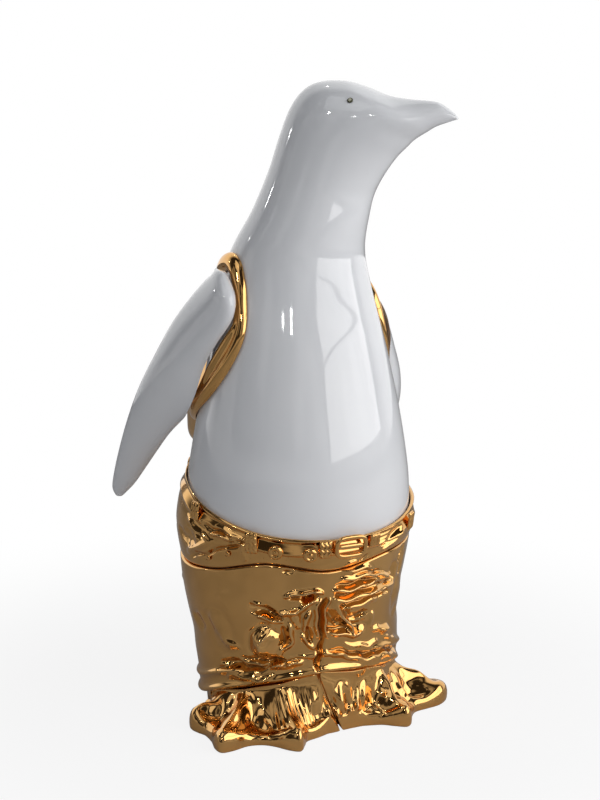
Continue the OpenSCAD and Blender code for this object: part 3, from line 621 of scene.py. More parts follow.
def buildFlipper(s, side, name, node):
    own = s[side]
    low = s["shoulder"] - s["drop"]
    rootHeight = s["shoulder"] - s["drop"] * s["rootShare"]
    rootAt = s["rootAngle"] + own["back"]
    reach = bodyRadius(rootHeight - own["lower"], rootAt) - s["thickness"] * s["sunkShare"]
    root = points(-reach * sinD(rootAt), -reach * cosD(rootAt), 0.0)
    out = points(-cosD(own["sweep"]), sinD(own["sweep"]), 0.0)
    face = points(-sinD(own["sweep"]), -cosD(own["sweep"]), 0.0)
    angles = np.linspace(0, 360, s["around"] + 1)[:, None]
    up = points(0.0, 0.0, 1.0)
    rings = []
    line = strapLine(strapSettings, side)
    for share in alongRows(s["sections"], s["rowsPerSection"]):
        outer = root + out * share[0] * s["reach"] + up * (low - own["lower"] + share[1] * s["drop"])
        inner = root + out * share[2] * s["reach"] + up * (low - own["lower"] + share[3] * s["drop"])
        inner = inner + face * share[6] * s["thickness"]
        ring = (outer + inner) / 2 + (outer - inner) / 2 * cosD(angles)
        ring = ring + face * (share[4] * s["thickness"] / 2 * sinD(angles) + share[5] * own["bow"])
        a = np.degrees(np.arctan2(ring[:, 0], -ring[:, 1]))
        least = bodyRadius(ring[:, 2], a) + strapRoom(strapSettings, line, ring[:, 2], a)
        r = np.hypot(ring[:, 0], ring[:, 1])
        push = np.maximum(1, least / r)
        rings.append(points(ring[:, 0] * push, ring[:, 1] * push, ring[:, 2]))
    rings[0][:] = rings[0][:-1].mean(axis=0)
    rings = closedEnds(rings)[1:]
    if side == "left":
        rings[..., 0] *= -1
    rings = turned(rings, chestTurn)
    bm = skinned(rings)
    relaxed(bm, 1)
    finished(bm, name, glaze, node)


buildFlipper(flipperSettings, "right", "rightFlipper", "right_flipper")
buildFlipper(flipperSettings, "left", "leftFlipper", "left_flipper")
print("flippers built")


def buildStrap(s, side, name, node):
    def place(t):
        p, angle, z = strapPath(s, side, t)
        return p, torsoAt(z), s[side]["turn"] * angle

    last = len(s["path"]) - 1
    t = np.linspace(-s["overrunTop"], last + s["overrunLow"], last * s["rowsPerSection"] + s["overrunRows"])
    p, height, angle = place(t)
    centre, normal = bodyPoints(height, angle), bodyNormals(height, angle)
    along = unit(bodyPoints(*place(t + 0.1)[1:]) - bodyPoints(*place(t - 0.1)[1:]))
    across = unit(np.cross(normal, along))
    halfWidth, rise, groove = p[:, 2] * s["width"] / 2, p[:, 3] * s["rise"], p[:, 4]
    columns = []
    for a in np.linspace(0, 180, s["across"] + 1):
        dip = groove * np.exp(-((a - 90) / s["grooveAngle"]) ** 2)
        lift = 2 * s["bedding"] + rise * sinD(a) * (1 - dip)
        columns.append(centre + normal * lift[:, None] + across * (halfWidth * cosD(a))[:, None])
    for share in s["underShares"]:
        columns.append(centre + normal * s["bedding"] + across * (halfWidth * share)[:, None])
    columns.append(columns[0])
    finished(skinned(closedEnds(np.stack(columns, axis=1))), name, gold, node)


buildStrap(strapSettings, "right", "rightStrap", "right_strap")
buildStrap(strapSettings, "left", "leftStrap", "left_strap")
print("straps built")


# Rucksack: the flower vessel on the back

packSettings = {
    "width": 104, "depth": 42, "height": 288, "low": 179, "wall": 4, "bedding": 0.4,
    # height, half width, half depth, how square the corners are
    "sections": [
        [0, 0.76, 0.7, 0.8], [0.02, 0.9, 0.86, 0.8], [0.07, 0.98, 0.96, 0.75],
        [0.16, 1, 1, 0.72], [0.3, 1, 1.02, 0.7], [0.5, 0.92, 0.98, 0.7],
        [0.72, 0.83, 0.94, 0.7], [0.9, 0.78, 0.93, 0.72], [0.97, 0.8, 0.95, 0.75],
        [1, 0.79, 0.93, 0.78],
    ],
    "floorSection": 2, "around": 112, "rowsPerSection": 5, "innerPerSection": 3,
}


def backDepth(x, z, room):
    rows = rowsAt(bodyRows, torsoAt(z))
    q = x / (rows[:, 4] + room)
    return (rows[:, 2] - rows[:, 0]) / 2 * np.sqrt(np.maximum(0, 1 - q * q)) + room - (rows[:, 2] + rows[:, 0]) / 2


def squared(v, power):
    return np.sign(v) * np.abs(v) ** power


def packRing(s, share, inset):
    angles = np.linspace(0, 360, s["around"] + 1)
    z = s["low"] + share[0] * (s["height"] - s["low"]) + 0 * angles
    depth = s["depth"] * share[2] - inset
    x = (s["width"] / 2 * share[1] - inset) * squared(sinD(angles), share[3])
    y = np.maximum(backDepth(0 * x, z, 0) - depth * squared(cosD(angles), share[3]),
                   backDepth(x, z, s["bedding"] + inset))
    return points(x, y, z)


def buildPack(s):
    last = len(s["sections"]) - 1
    floorAt = s["floorSection"]
    inner = rowsAt(s["sections"], np.linspace(last, floorAt, (last - floorAt) * s["innerPerSection"] + 1))
    rings = [packRing(s, r, 0) for r in alongRows(s["sections"], s["rowsPerSection"])]
    bm = skinned(closedEnds(rings + [packRing(s, r, s["wall"]) for r in inner]))
    turn = math.radians(chestTurn)
    c, n = math.cos(turn), math.sin(turn)
    for v in bm.verts:
        x, y = v.co.x, v.co.y
        v.co.x, v.co.y = x * c - y * n, x * n + y * c
    relaxed(bm, 2)
    finished(bm, "rucksackVessel", gold, "rucksack_vessel")


buildPack(packSettings)
print("rucksack built")


# Trousers and waistband share their outline, so both read these values

trouserSettings = {
    "waist": 158, "wall": 5, "base": 5, "ventWidth": 30, "ventBack": 28, "hemFront": 44, "hemStep": 4,
    "cuff": 15, "fold": 4.5, "collar": 3.6, "ledgeWidth": 8, "ledge": 7, "bedding": 0.4, "crowd": 30,
    # small gaps and roundings: over the hem's step, at the mouth, on the ledge, and where folds fade at the top
    "hemGap": 0.2, "mouthRooms": [2.2, 0.3], "ledgeStart": 0.5, "ledgeEdge": 0.8, "fadeFrom": 0.96, "topInset": 0.25,
    # slow waves of the cloth, across and up: rise, how fast they come with height and with width
    "waverAcross": [[1.5, 0.16, 0.05], [0.7, 0.43, 0.19]], "waverUp": [[1.3, 0.06, 0.13], [0.6, -0.11, 0.37]],
    # least width of a fold's end, and the groove round a pad: depth, place and width
    "foldTaper": 0.45, "padGroove": [0.16, 1.08, 0.16],
    # rise, waves in a turn and start of the belt's unevenness, and how fast it starts from both edges
    "beltWaver": [[0.7, 3.1, 0], [0.5, 7, 40]], "beltStarts": [12, 30],
    # each cuff roll's place and half width
    "cuffRolls": [[0.12, 0.16], [0.92, 0.14]],
    # the band's thickness from its lower edge to its rim, on the plain side as the drawing has it
    "bandShares": [[0, 0.75], [0.05, 0.97], [0.15, 1.0], [0.27, 1.0], [0.39, 0.99], [0.51, 0.98], [0.63, 0.96],
                   [0.75, 0.94], [0.86, 0.9], [0.95, 0.78], [1, 0.4]],
    # rolled rim, a belt strip that leans upwards, its lower lip and the yoke's stitched seam, by mm below the rim
    "beltShares": [[0, 0.0], [0.6, 0.12], [1.4, 0.10], [2.2, -0.30], [3.2, -0.52], [6, -0.26], [8.5, 0.02],
                   [10.2, 0.26], [11, 0.2], [11.8, -0.16], [14, -0.12], [18, 0], [60, 0]],
    "rim": [0.898, 0.91, 0.952, 1.005, 1.045, 1.08, 1.105, 1.12, 1.115, 1.07, 0.985, 0.92],
    "low": [0.755, 0.79, 0.803, 0.81, 0.835, 0.861, 0.873, 0.835, 0.75, 0.715, 0.735, 0.79],
    "hem": [1, 0.92, 0.78, 0.55, 0.32, 0.16, 0.1, 0.11, 0.16, 0.27, 0.57, 0.83],
    # half width, half depth, side shift
    "cloth": [
        [0.815, 0.815, 0], [0.83, 0.83, 0], [0.845, 0.845, 0], [0.868, 0.86, 0],
        [0.876, 0.87, -0.008], [0.895, 0.89, -0.026], [0.92, 0.915, -0.034], [0.944, 0.94, -0.034],
        [0.965, 0.962, -0.024], [0.98, 0.98, -0.01], [1, 1, 0], [1, 1, 0],
    ],
    # angle and height at both ends, half width and rise
    "creases": [
        # the pocket's welt at the right, its stitching and the wrinkles beside it
        [-63, 0.873, -79, 0.935, 0.01, 0.65], [-79, 0.762, -61, 0.872, 0.01, 0.75], [-77, 0.9, -66, 0.87, 0.01, -0.6],
        [-76, 0.752, -65, 0.802, 0.007, -0.6], [-65, 0.802, -52, 0.845, 0.007, -0.65],
        [-52, 0.845, -44, 0.855, 0.007, -0.6], [-66, 0.935, -48, 0.885, 0.009, -0.75],
        [-61, 0.9, -45, 0.872, 0.008, 0.55], [-56, 0.925, -42, 0.895, 0.007, 0.45],
        [-50, 0.872, -40, 0.88, 0.007, -0.6], [-42, 0.875, -42.5, 0.8, 0.008, 0.45],
        # below the buckle, the fly's curve and the left side
        [6, 0.775, 15, 0.782, 0.006, 0.3], [20, 0.8, 17, 0.76, 0.008, -0.45], [28, 0.845, 44, 0.885, 0.01, -0.6],
        [30, 0.82, 46, 0.862, 0.009, 0.45], [-88, 0.86, -76, 0.8, 0.016, -0.5],
        # round the back
        [70, 0.9, 120, 0.93, 0.014, -0.4], [80, 0.85, 130, 0.86, 0.016, 0.35], [-150, 0.9, -100, 0.87, 0.014, -0.4],
    ],
    # angle, height, half width, half height, how square, rise; in mm
    "bandPads": [
        [-77, 134.5, 8.5, 6.5, 2, -2.6], [-14, 139.4, 1.7, 1.5, 2, 0.7], [-7, 139.6, 1.7, 1.5, 2, 0.7],
        [-74.5, 121.5, 0.9, 0.9, 2, 0.6], [-71.5, 124, 0.9, 0.9, 2, 0.6], [-68.5, 126.2, 0.9, 0.9, 2, 0.6],
    ],
    "pads": [
        [-31, 64.5, 13, 12.5, 2, 5.6], [-32.5, 62.5, 4.5, 4, 2, 1.2], [-29, 90, 10, 5, 2.4, -2.6],
        [-8, 98.5, 2.4, 2.6, 2, -2.2], [19.5, 80, 7.6, 7.2, 4, -2.4], [-14.5, 86, 5, 8, 2, 2.6],
        [8.5, 80, 5.2, 4.6, 2.6, -2], [-52, 45.5, 11.5, 4.6, 2.2, -2.6], [49.5, 118, 3.6, 7.5, 2, -2.8],
        [54, 111, 2.4, 9, 2.2, -1.6], [-18, 50.5, 1.8, 1.8, 2, -1.4], [42, 64, 8, 4.5, 2.2, 1.8],
        [-58, 70, 12, 16, 2.2, 1.6], [55, 88, 10, 13, 2.2, 1.6],
    ],
    "folds": [
        # the fan of folds right of the fly
        [9, 0.752, 27, 0.722, 0.016, 0.7], [7, 0.716, 38, 0.69, 0.015, 0.85], [14, 0.735, 34, 0.704, 0.009, -0.75],
        [4, 0.69, 41, 0.668, 0.01, -0.8], [3, 0.668, 38, 0.64, 0.013, 0.9], [24, 0.664, 45, 0.69, 0.009, 0.55],
        [5, 0.64, 44, 0.648, 0.01, -1], [4, 0.62, 30, 0.61, 0.016, 0.8], [22, 0.612, 46, 0.634, 0.01, 0.7],
        [8, 0.592, 42, 0.6, 0.01, -0.9], [10, 0.575, 30, 0.57, 0.012, 0.35],
        # left of the fly
        [-2, 0.655, -19, 0.65, 0.012, 0.9], [-4, 0.64, -17, 0.636, 0.008, -0.9], [-6, 0.628, -10, 0.626, 0.016, -1.1],
        [-4, 0.612, -15, 0.575, 0.012, 0.75], [-15, 0.575, -24, 0.566, 0.01, 0.7],
        [-24, 0.566, -36, 0.606, 0.009, 0.7], [-22, 0.552, -38, 0.588, 0.016, -1.1],
        [-25, 0.535, -38, 0.566, 0.01, -0.9], [-22, 0.53, -35, 0.54, 0.009, 0.6],
        # crotch seam and the ridges that leave it
        [0, 0.628, -2.5, 0.42, 0.009, -1.1], [-2.5, 0.42, -4, 0.29, 0.012, -1.3], [1.8, 0.628, 0, 0.43, 0.008, 0.7],
        [-2.5, 0.62, -5, 0.44, 0.01, 0.75], [5, 0.606, 16, 0.47, 0.016, 0.95], [9, 0.6, 20, 0.48, 0.009, -0.6],
        [3, 0.56, 7, 0.5, 0.022, -0.9], [2, 0.47, 14, 0.48, 0.012, -0.8], [3, 0.452, 22, 0.44, 0.011, 0.7],
        [-7, 0.56, -12, 0.48, 0.014, 0.8], [-10, 0.5, -8, 0.43, 0.012, -0.8], [-13, 0.47, -6, 0.4, 0.01, 0.65],
        # knee, its rim and the square hollow on the other leg
        [-33, 0.408, -31, 0.4, 0.066, 1.15], [-33, 0.405, -31, 0.4, 0.03, -0.35], [-19, 0.53, -17, 0.44, 0.012, 0.8],
        [-17, 0.44, -26, 0.33, 0.011, 0.7], [-22, 0.5, -21, 0.4, 0.01, -0.8], [-47, 0.34, -22, 0.33, 0.01, -0.9],
        [-58, 0.395, -47, 0.388, 0.02, 0.45], [17, 0.52, 26, 0.52, 0.012, -0.9], [17, 0.475, 27, 0.475, 0.026, -0.8],
        [15, 0.52, 16, 0.44, 0.009, 0.7], [29, 0.52, 30, 0.44, 0.009, 0.7], [30, 0.43, 48, 0.4, 0.014, 0.6],
        # cuffs: a crease between two rolls on both legs, with small tucks
        [2, 0.375, 66, 0.262, 0.009, -0.9], [4, 0.35, 60, 0.245, 0.018, 0.65], [10, 0.395, 34, 0.365, 0.01, 0.55],
        [40, 0.37, 58, 0.33, 0.014, 0.5], [56, 0.3, 64, 0.29, 0.012, -0.8], [-64, 0.25, -8, 0.36, 0.009, -0.8],
        [-60, 0.285, -36, 0.3, 0.016, -1.1], [-56, 0.225, -30, 0.262, 0.016, 0.6], [-30, 0.3, -12, 0.335, 0.014, 0.7],
        [-22, 0.318, -21, 0.317, 0.01, -1.1],
        # side dimples, the small mark under the belt and soft waves of the thigh
        [43, 0.722, 47, 0.655, 0.018, -1.1], [52, 0.7, 55, 0.64, 0.01, -0.7], [-22, 0.762, -17, 0.76, 0.007, -0.6],
        [-70, 0.5, -60, 0.38, 0.04, -0.28], [-55, 0.64, -50, 0.52, 0.05, 0.18], [48, 0.56, 56, 0.47, 0.034, -0.35],
        [-84, 0.47, -74, 0.44, 0.03, -0.6], [60, 0.6, 70, 0.59, 0.03, -0.5], [62, 0.44, 74, 0.43, 0.026, -0.55],
        # folds round the sides and the back
        [95, 0.64, 150, 0.6, 0.022, 0.45], [100, 0.56, 160, 0.545, 0.02, -0.5], [110, 0.4, 165, 0.35, 0.024, 0.5],
        [120, 0.3, 172, 0.28, 0.02, -0.55], [-150, 0.62, -105, 0.58, 0.022, 0.45],
        [-160, 0.54, -110, 0.5, 0.02, -0.5], [-168, 0.38, -112, 0.33, 0.024, 0.5],
        [-172, 0.25, -120, 0.24, 0.02, -0.5], [180, 0.6, 179, 0.2, 0.012, -0.9],
    ],
    "around": 230, "outerRows": 78, "bandRows": 40,
}
waistRadius = bodySettings["bellyWidth"] / 2 + trouserSettings["bedding"] + trouserSettings["collar"]
waistDepth = bodySettings["bellyDepth"] / 2 + trouserSettings["bedding"] + trouserSettings["collar"]


def hemAt(s, a):
    return s["hemFront"] * aroundAt(s["hem"], a)


def rimAt(s, a):
    return s["waist"] * aroundAt(s["rim"], a)


def lowAt(s, a):
    return s["waist"] * aroundAt(s["low"], a)


def clothPlace(s, a, z):
    # a spot on the cloth laid flat, in mm, wavering a little so that no fold runs quite straight
    flat = np.where(a > 180, a - 360, a)
    x, z = np.broadcast_arrays(flat * math.pi / 180 * waistRadius, z)
    loose = 1 - easeIn(np.abs(flat), 110, 160)
    across, up = [sum(rise * np.sin(byHeight * z + byWidth * x) for rise, byHeight, byWidth in waves)
                  for waves in (s["waverAcross"], s["waverUp"])]
    return np.stack([x + loose * across, z + loose * up], axis=-1)


def reliefAt(s, a, z, strokes, pads=()):
    # ridges and creases along strokes that thin out at their ends, then round pads and hollows
    perDegree = math.pi / 180 * waistRadius
    p = clothPlace(s, a, z)
    total = np.zeros(p.shape[:-1])
    for a0, z0, a1, z1, width, rise in strokes:
        start = np.array([a0 * perDegree, z0 * s["waist"]])
        along = np.array([a1 * perDegree, z1 * s["waist"]]) - start
        f = np.clip(((p - start) @ along) / (along @ along), 0, 1)
        full = s["foldTaper"] + (1 - s["foldTaper"]) * np.sqrt(4 * f * (1 - f))
        away = np.linalg.norm(p - start - f[..., None] * along, axis=-1) / (width * s["waist"] * full)
        total += rise * full * s["fold"] * np.exp(-away * away)
    depth, place, width = s["padGroove"]
    for a0, z0, halfWidth, halfHeight, power, rise in pads:
        q = np.abs(p - np.array([a0 * perDegree, z0])) / np.array([halfWidth, halfHeight])
        r = (q[..., 0] ** power + q[..., 1] ** power) ** (1 / power)
        total += rise * (np.maximum(0, 1 - r * r) - depth * np.exp(-((r - place) / width) ** 2))
    return total


def clothPoints(s, a, z, grow):
    rows = rowsAt(s["cloth"], z / s["waist"] * (len(s["cloth"]) - 1))
    return points((rows[:, 0] * waistRadius + grow) * sinD(a) + rows[:, 2] * waistRadius,
                  -(rows[:, 1] * waistDepth + grow) * cosD(a), z)


def fittedPoints(a, z, grow):
    return bodyPoints(torsoAt(z), a - chestTurn, grow)


def cuffAt(s, a, z):
    share = (z - hemAt(s, a)) / s["cuff"]
    return s["fold"] * 0.5 * sum(np.exp(-((share - place) / width) ** 2) for place, width in s["cuffRolls"])


def roundAngles(s):
    # angles round the trousers, closer together at the front
    around = np.linspace(0, 360, s["around"] + 1)
    return around - s["crowd"] * sinD(around)


def buildTrousers(s):
    a = roundAngles(s)
    zero = 0 * a
    hem, top, ledge = hemAt(s, a), lowAt(s, a) - 1.5 * s["bedding"], seat - s["bedding"]
    vent = s["ventWidth"] / 2

    def ventRing(z):
        return points(vent * sinD(a), s["ventBack"] - vent * cosD(a), zero + z)

    # from the vent over the underside and up the outside
    foot = clothPoints(s, a, zero, -s["hemStep"])
    rings = [ventRing(0)] + [ventRing(0) * (1 - f) + foot * f for f in (0.03, 0.35, 0.7, 0.97)]
    rings += [clothPoints(s, a, f * hem, -s["hemStep"]) for f in (0, 0.04, 0.5, 0.94, 1)]
    rings += [clothPoints(s, a, hem - s["hemGap"], -s["hemStep"] * f) for f in (0.5, 0.05)]
    for f in np.linspace(0, 1, s["outerRows"]):
        z = hem + (top - hem) * f
        grow = (reliefAt(s, a, z, s["folds"], s["pads"]) + cuffAt(s, a, z)) * (1 - easeIn(f, s["fadeFrom"], 1))
        rings.append(clothPoints(s, a, z, grow - s["topInset"] * s["collar"] * (f == 1)))
    # down beside the body to the ledge that carries it, then down the inside to the base
    rings += [fittedPoints(a, top, s["bedding"] + room) for room in s["mouthRooms"]]
    rings += [fittedPoints(a, ledge + (top - ledge) * f, zero + s["bedding"]) for f in (1, 0.66, 0.33, 0.03)]
    rings += [fittedPoints(a, zero + ledge - down, zero - inwards) for down, inwards in (
        (0, s["ledgeStart"]), (0, s["ledgeWidth"]), (s["ledgeEdge"], s["ledgeWidth"]), (s["ledge"], s["ledgeWidth"]))]
    rings += [clothPoints(s, a, zero + s["base"] + (ledge - s["base"]) * f,
                          -s["wall"] - s["hemStep"] * (1 - f)) for f in (0.85, 0.65, 0.4, 0.2)]
    inside = clothPoints(s, a, zero + s["base"], zero - 2 * s["wall"] - s["hemStep"])
    rings += [inside] + [inside * (1 - f) + ventRing(s["base"]) * f for f in (0.4, 0.8, 0.97)]
    rings += [ventRing(s["base"]), ventRing(s["base"] * 0.5), ventRing(0)]
    finished(skinned(rings), "trousers", gold, "trousers_shell")


def bandHeight(s, a, f):
    return lowAt(s, a) + (rimAt(s, a) - lowAt(s, a)) * f


def bandGrow(s, a, f, section):
    # the band's lower edge comes out flush with the trousers
    low = lowAt(s, a)
    cloth, body = clothPoints(s, a, low, 0), fittedPoints(a, low, 0)
    room = np.hypot(cloth[..., 0], cloth[..., 1]) - np.hypot(body[..., 0], body[..., 1])
    flush = np.maximum(0, room - 1.1 * s["collar"] - s["bedding"]) * (1 - f) ** 1.5
    return s["bedding"] + s["collar"] * section + flush


def bandRelief(s, a, z, f):
    return reliefAt(s, a, z, s["creases"], s["bandPads"]) * np.minimum(1, 8 * f * (1 - f))


def beltProfile(s, a, z, rim):
    waver = sum(rise * sinD(often * a + start) for rise, often, start in s["beltWaver"])
    return betweenShares(s["beltShares"], rim - z + waver)


def buildWaistband(s):
    a = roundAngles(s)
    rings = []
    for f in np.linspace(0, 1, s["bandRows"]):
        z = bandHeight(s, a, f)
        full = min(1, s["beltStarts"][0] * f, s["beltStarts"][1] * (1 - f))
        belt = s["collar"] * beltProfile(s, a, z, rimAt(s, a)) * full
        thickness = bandGrow(s, a, f, betweenShares(s["bandShares"], f))
        rings.append(fittedPoints(a, z, thickness + bandRelief(s, a, z, f) + belt))
    rings += [fittedPoints(a, bandHeight(s, a, f), 0 * a + s["bedding"]) for f in (0.99, 0.75, 0.5, 0.25, 0.01)]
    finished(skinned(rings + [rings[0]]), "waistbandBelt", gold, "waistband")


buildTrousers(trouserSettings)
buildWaistband(trouserSettings)
print("trousers and waistband built")


# Belt fittings: loops, buckle, studs and rivets, each seated on the waistband

fittingSettings = {
    "bedding": 0.4, "loopWidth": 9, "loopLength": 15, "loopRise": 2.4,
    # below 1 these make a round section squarer
    "loopCorner": 0.75, "loopCrown": 0.45, "buckleCorners": [0.55, 0.6], "barCrown": 0.8,
    "ribs": 3, "ribDepth": 0.34, "braidLean": 0.9, "braidTurns": 1.5,
    # angle from the chest, share of the length, how braided the ribs are
    "loops": [[-80, 0.85, 0.2], [-45.5, 1, 0.5], [-11, 0.85, 1], [14.5, 0.65, 0.4], [45, 0.9, 0.3],
              [95, 1, 0.2], [145, 1, 0.2], [-135, 1, 0.2]],
    "buckle": [1, 0.866], "buckleWidth": 25, "buckleHeight": 17, "bar": 3.2, "prong": 3.0,
    "prongShare": 1.25, "prongLift": 1.3,
    "stud": 10.6, "studRise": 2.6, "studs": [[-34, 0.850], [-18, 0.838]],
    "rivet": 4.6, "rivetRise": 1.4, "rivets": [[-58, 0.822], [-70, 0.785]],
    # distance from the middle and height of a button's outline
    "studOutline": [[0, 0], [0.94, 0], [1, 0.12], [0.99, 0.30], [0.92, 0.58], [0.80, 0.82], [0.68, 0.94],
                    [0.58, 0.93], [0.5, 0.8], [0.43, 0.66], [0.34, 0.66], [0.26, 0.8], [0.13, 0.94], [0, 0.97]],
    "rivetOutline": [[0, 0], [0.92, 0], [1, 0.20], [0.97, 0.55], [0.84, 0.78], [0.72, 0.70], [0.62, 0.52],
                     [0.52, 0.6], [0.34, 0.88], [0, 1]],
}


def bandPlace(s, u, z, lift):
    def at(angle, height):
        a = np.array([angle + chestTurn], float)
        h = np.array([height], float)
        f = np.clip((h - lowAt(s, a)) / (rimAt(s, a) - lowAt(s, a)), 0, 1)
        return fittedPoints(a, h, bandGrow(s, a, f, 1) + np.maximum(0, bandRelief(s, a, h, f)))[0]

    normal = unit(np.cross(at(u + 1, z) - at(u - 1, z), at(u, z + 1) - at(u, z - 1)))
    return seated(at(u, z) + normal * lift, normal)


def placed(rings, place):
    rings = np.array(rings, float)
    return place[0] + rings[..., 0:1] * place[1] + rings[..., 1:2] * place[2] + rings[..., 2:3] * place[3]


def merged(parts):
    # several closed skins in one bmesh
    bm = parts[0]
    for part in parts[1:]:
        mesh = bpy.data.meshes.new("spare")
        part.to_mesh(mesh)
        part.free()
        bm.from_mesh(mesh)
        bpy.data.meshes.remove(mesh)
    return bm


def button(outline, diameter, rise, place, steps=32):
    angles = np.linspace(0, 360, steps + 1)
    rings = [points(r * diameter / 2 * cosD(angles), r * diameter / 2 * sinD(angles), h * rise) for r, h in outline]
    return skinned(placed(rings, place))


def beltLoop(s, length, braid, place):
    # a raised strip with ribs that sway where it is braided
    turn = np.linspace(0, 180, 33)
    x = squared(cosD(turn), s["loopCorner"]) * s["loopWidth"] / 2
    back = np.linspace(-1, 1, 7)[1:] * s["loopWidth"] / 2
    rings = []
    for f in [0, 0.02, 0.06, 0.12] + list(np.linspace(0.18, 0.82, 22)) + [0.88, 0.94, 0.98, 1]:
        y = (f - 0.5) * length
        end = math.sqrt(max(0, 1 - abs(2 * f - 1) ** 5))
        lean = s["braidLean"] * braid * math.sin(y * s["braidTurns"])
        rib = 0.5 + 0.5 * np.cos(2 * math.pi * s["ribs"] * (x + lean) / s["loopWidth"])
        crown = squared(sinD(turn), s["loopCrown"]) * (1 - s["ribDepth"] + s["ribDepth"] * rib)
        rise = s["loopRise"] * crown * end
        wide = 0.9 + 0.1 * end
        rings.append(np.concatenate([points(x * wide, y, rise), points(back * wide, y, 0.0)]))
    return skinned(placed(closedEnds(rings), place))


def buckleFrame(s, place):
    turn = np.linspace(0, 360, 97)
    angles = np.linspace(0, 360, 17)
    bar = s["bar"]

    def path(t):
        return np.stack([(s["buckleWidth"] - bar) / 2 * squared(cosD(t), s["buckleCorners"][0]),
                         (s["buckleHeight"] - bar) / 2 * squared(sinD(t), s["buckleCorners"][1])], axis=-1)

    middle, along = path(turn), unit(path(turn + 1.5) - path(turn - 1.5))
    r, high = bar / 2 * cosD(angles), bar / 2 + bar / 2 * squared(sinD(angles), s["barCrown"])
    rings = [points(p[0] + d[1] * r, p[1] - d[0] * r, high) for p, d in zip(middle, along)]
    rings[-1] = rings[0]
    return skinned(placed(rings, place))


def bucklePin(s, place):
    half, reach = s["prong"] / 2, s["buckleWidth"] / 2
    turn = np.linspace(0, 360, 25)
    rings = []
    for f in (0, 0.02, 0.06, 0.12, 0.25, 0.4, 0.6, 0.75, 0.88, 0.94, 0.98, 1):
        end = math.sqrt(max(0, 1 - abs(2 * f - 1) ** 6))
        x = -reach + s["bar"] * 0.8 + (2 * reach - s["bar"] * 1.5) * f
        rings.append(points(x, half * s["prongShare"] * end * cosD(turn), s["prongLift"] * (1 + end * sinD(turn))))
    return skinned(placed(closedEnds(rings), place))


def buildFittings(s, t):
    def onBand(u, share, lift):
        return bandPlace(t, u, share * t["waist"], lift * s["bedding"])

    loops = []
    for u, share, braid in s["loops"]:
        length = s["loopLength"] * share
        z = float(rimAt(t, u + chestTurn)) - length / 2
        loops.append(beltLoop(s, length, braid, bandPlace(t, u, z, s["bedding"])))
    studs = [button(s["studOutline"], s["stud"], s["studRise"], onBand(u, z, 1)) for u, z in s["studs"]]
    rivets = [button(s["rivetOutline"], s["rivet"], s["rivetRise"], onBand(u, z, 1.5)) for u, z in s["rivets"]]
    place = onBand(*s["buckle"], 1)
    finished(merged(loops), "beltLoops", gold, "belt_loops")
    finished(merged([buckleFrame(s, place), bucklePin(s, place)]), "beltBuckle", gold, "belt_buckle")
    finished(merged(studs), "beltStuds", gold, "belt_studs")
    finished(merged(rivets), "pocketRivets", gold, "pocket_rivets")


buildFittings(fittingSettings, trouserSettings)
print("belt fittings built")


# Eyes: small olive beads with a pale middle

eyeSettings = {
    "station": 15.5, "angle": 106, "diameter": 4.2, "rise": 1.05, "bedding": 0.4,
    "outline": [[0, 0], [0.96, 0], [1, 0.10], [0.96, 0.34], [0.86, 0.56], [0.72, 0.72], [0.56, 0.84], [0.36, 0.95],
                [0.18, 0.99], [0, 1]],
    "steps": 40, "dark": (0.020, 0.022, 0.004, 1), "olive": (0.062, 0.058, 0.014, 1), "pale": (0.48, 0.47, 0.36, 1),
    "paleRange": (0.55, 0.80), "waveScale": 900.0, "pinholes": 0.1, "bump": 0.1, "bumpDepth": 0.0003,
    "constants": {"Roughness": 0.08, "Coat Weight": 0.5},
}


def makeEye(s):
    # the bead darkens from its pale middle to the edge
    material, tree, shader = newMaterial("eyeLustre")
    wrap = addNode(tree, "ShaderNodeUVMap", {"uv_map": "wrap"}).outputs[0]
    inwards = addNode(tree, "ShaderNodeSeparateXYZ", None, Vector=wrap).outputs["Y"]
    ripple = rippled(tree, s)
    uneven = blend(tree, ripple, s["dark"], s["olive"])
    surfaced(tree, shader, s, blend(tree, ramp(tree, inwards, *s["paleRange"]), uneven, s["pale"]), ripple)
    return material


def buildEye(s, side, name, node):
    t, u = np.array(s["station"]), np.array(side * s["angle"], float)
    normal = bodyNormals(t, u)
    place = seated(bodyPoints(t, u) + normal * s["bedding"], normal)
    finished(button(s["outline"], s["diameter"], s["rise"], place, s["steps"]), name, eyeFinish, node)


eyeFinish = (makeEye(eyeSettings), "eye_lustre")
buildEye(eyeSettings, -1, "rightEye", "right_eye")
buildEye(eyeSettings, 1, "leftEye", "left_eye")
print("eyes built")
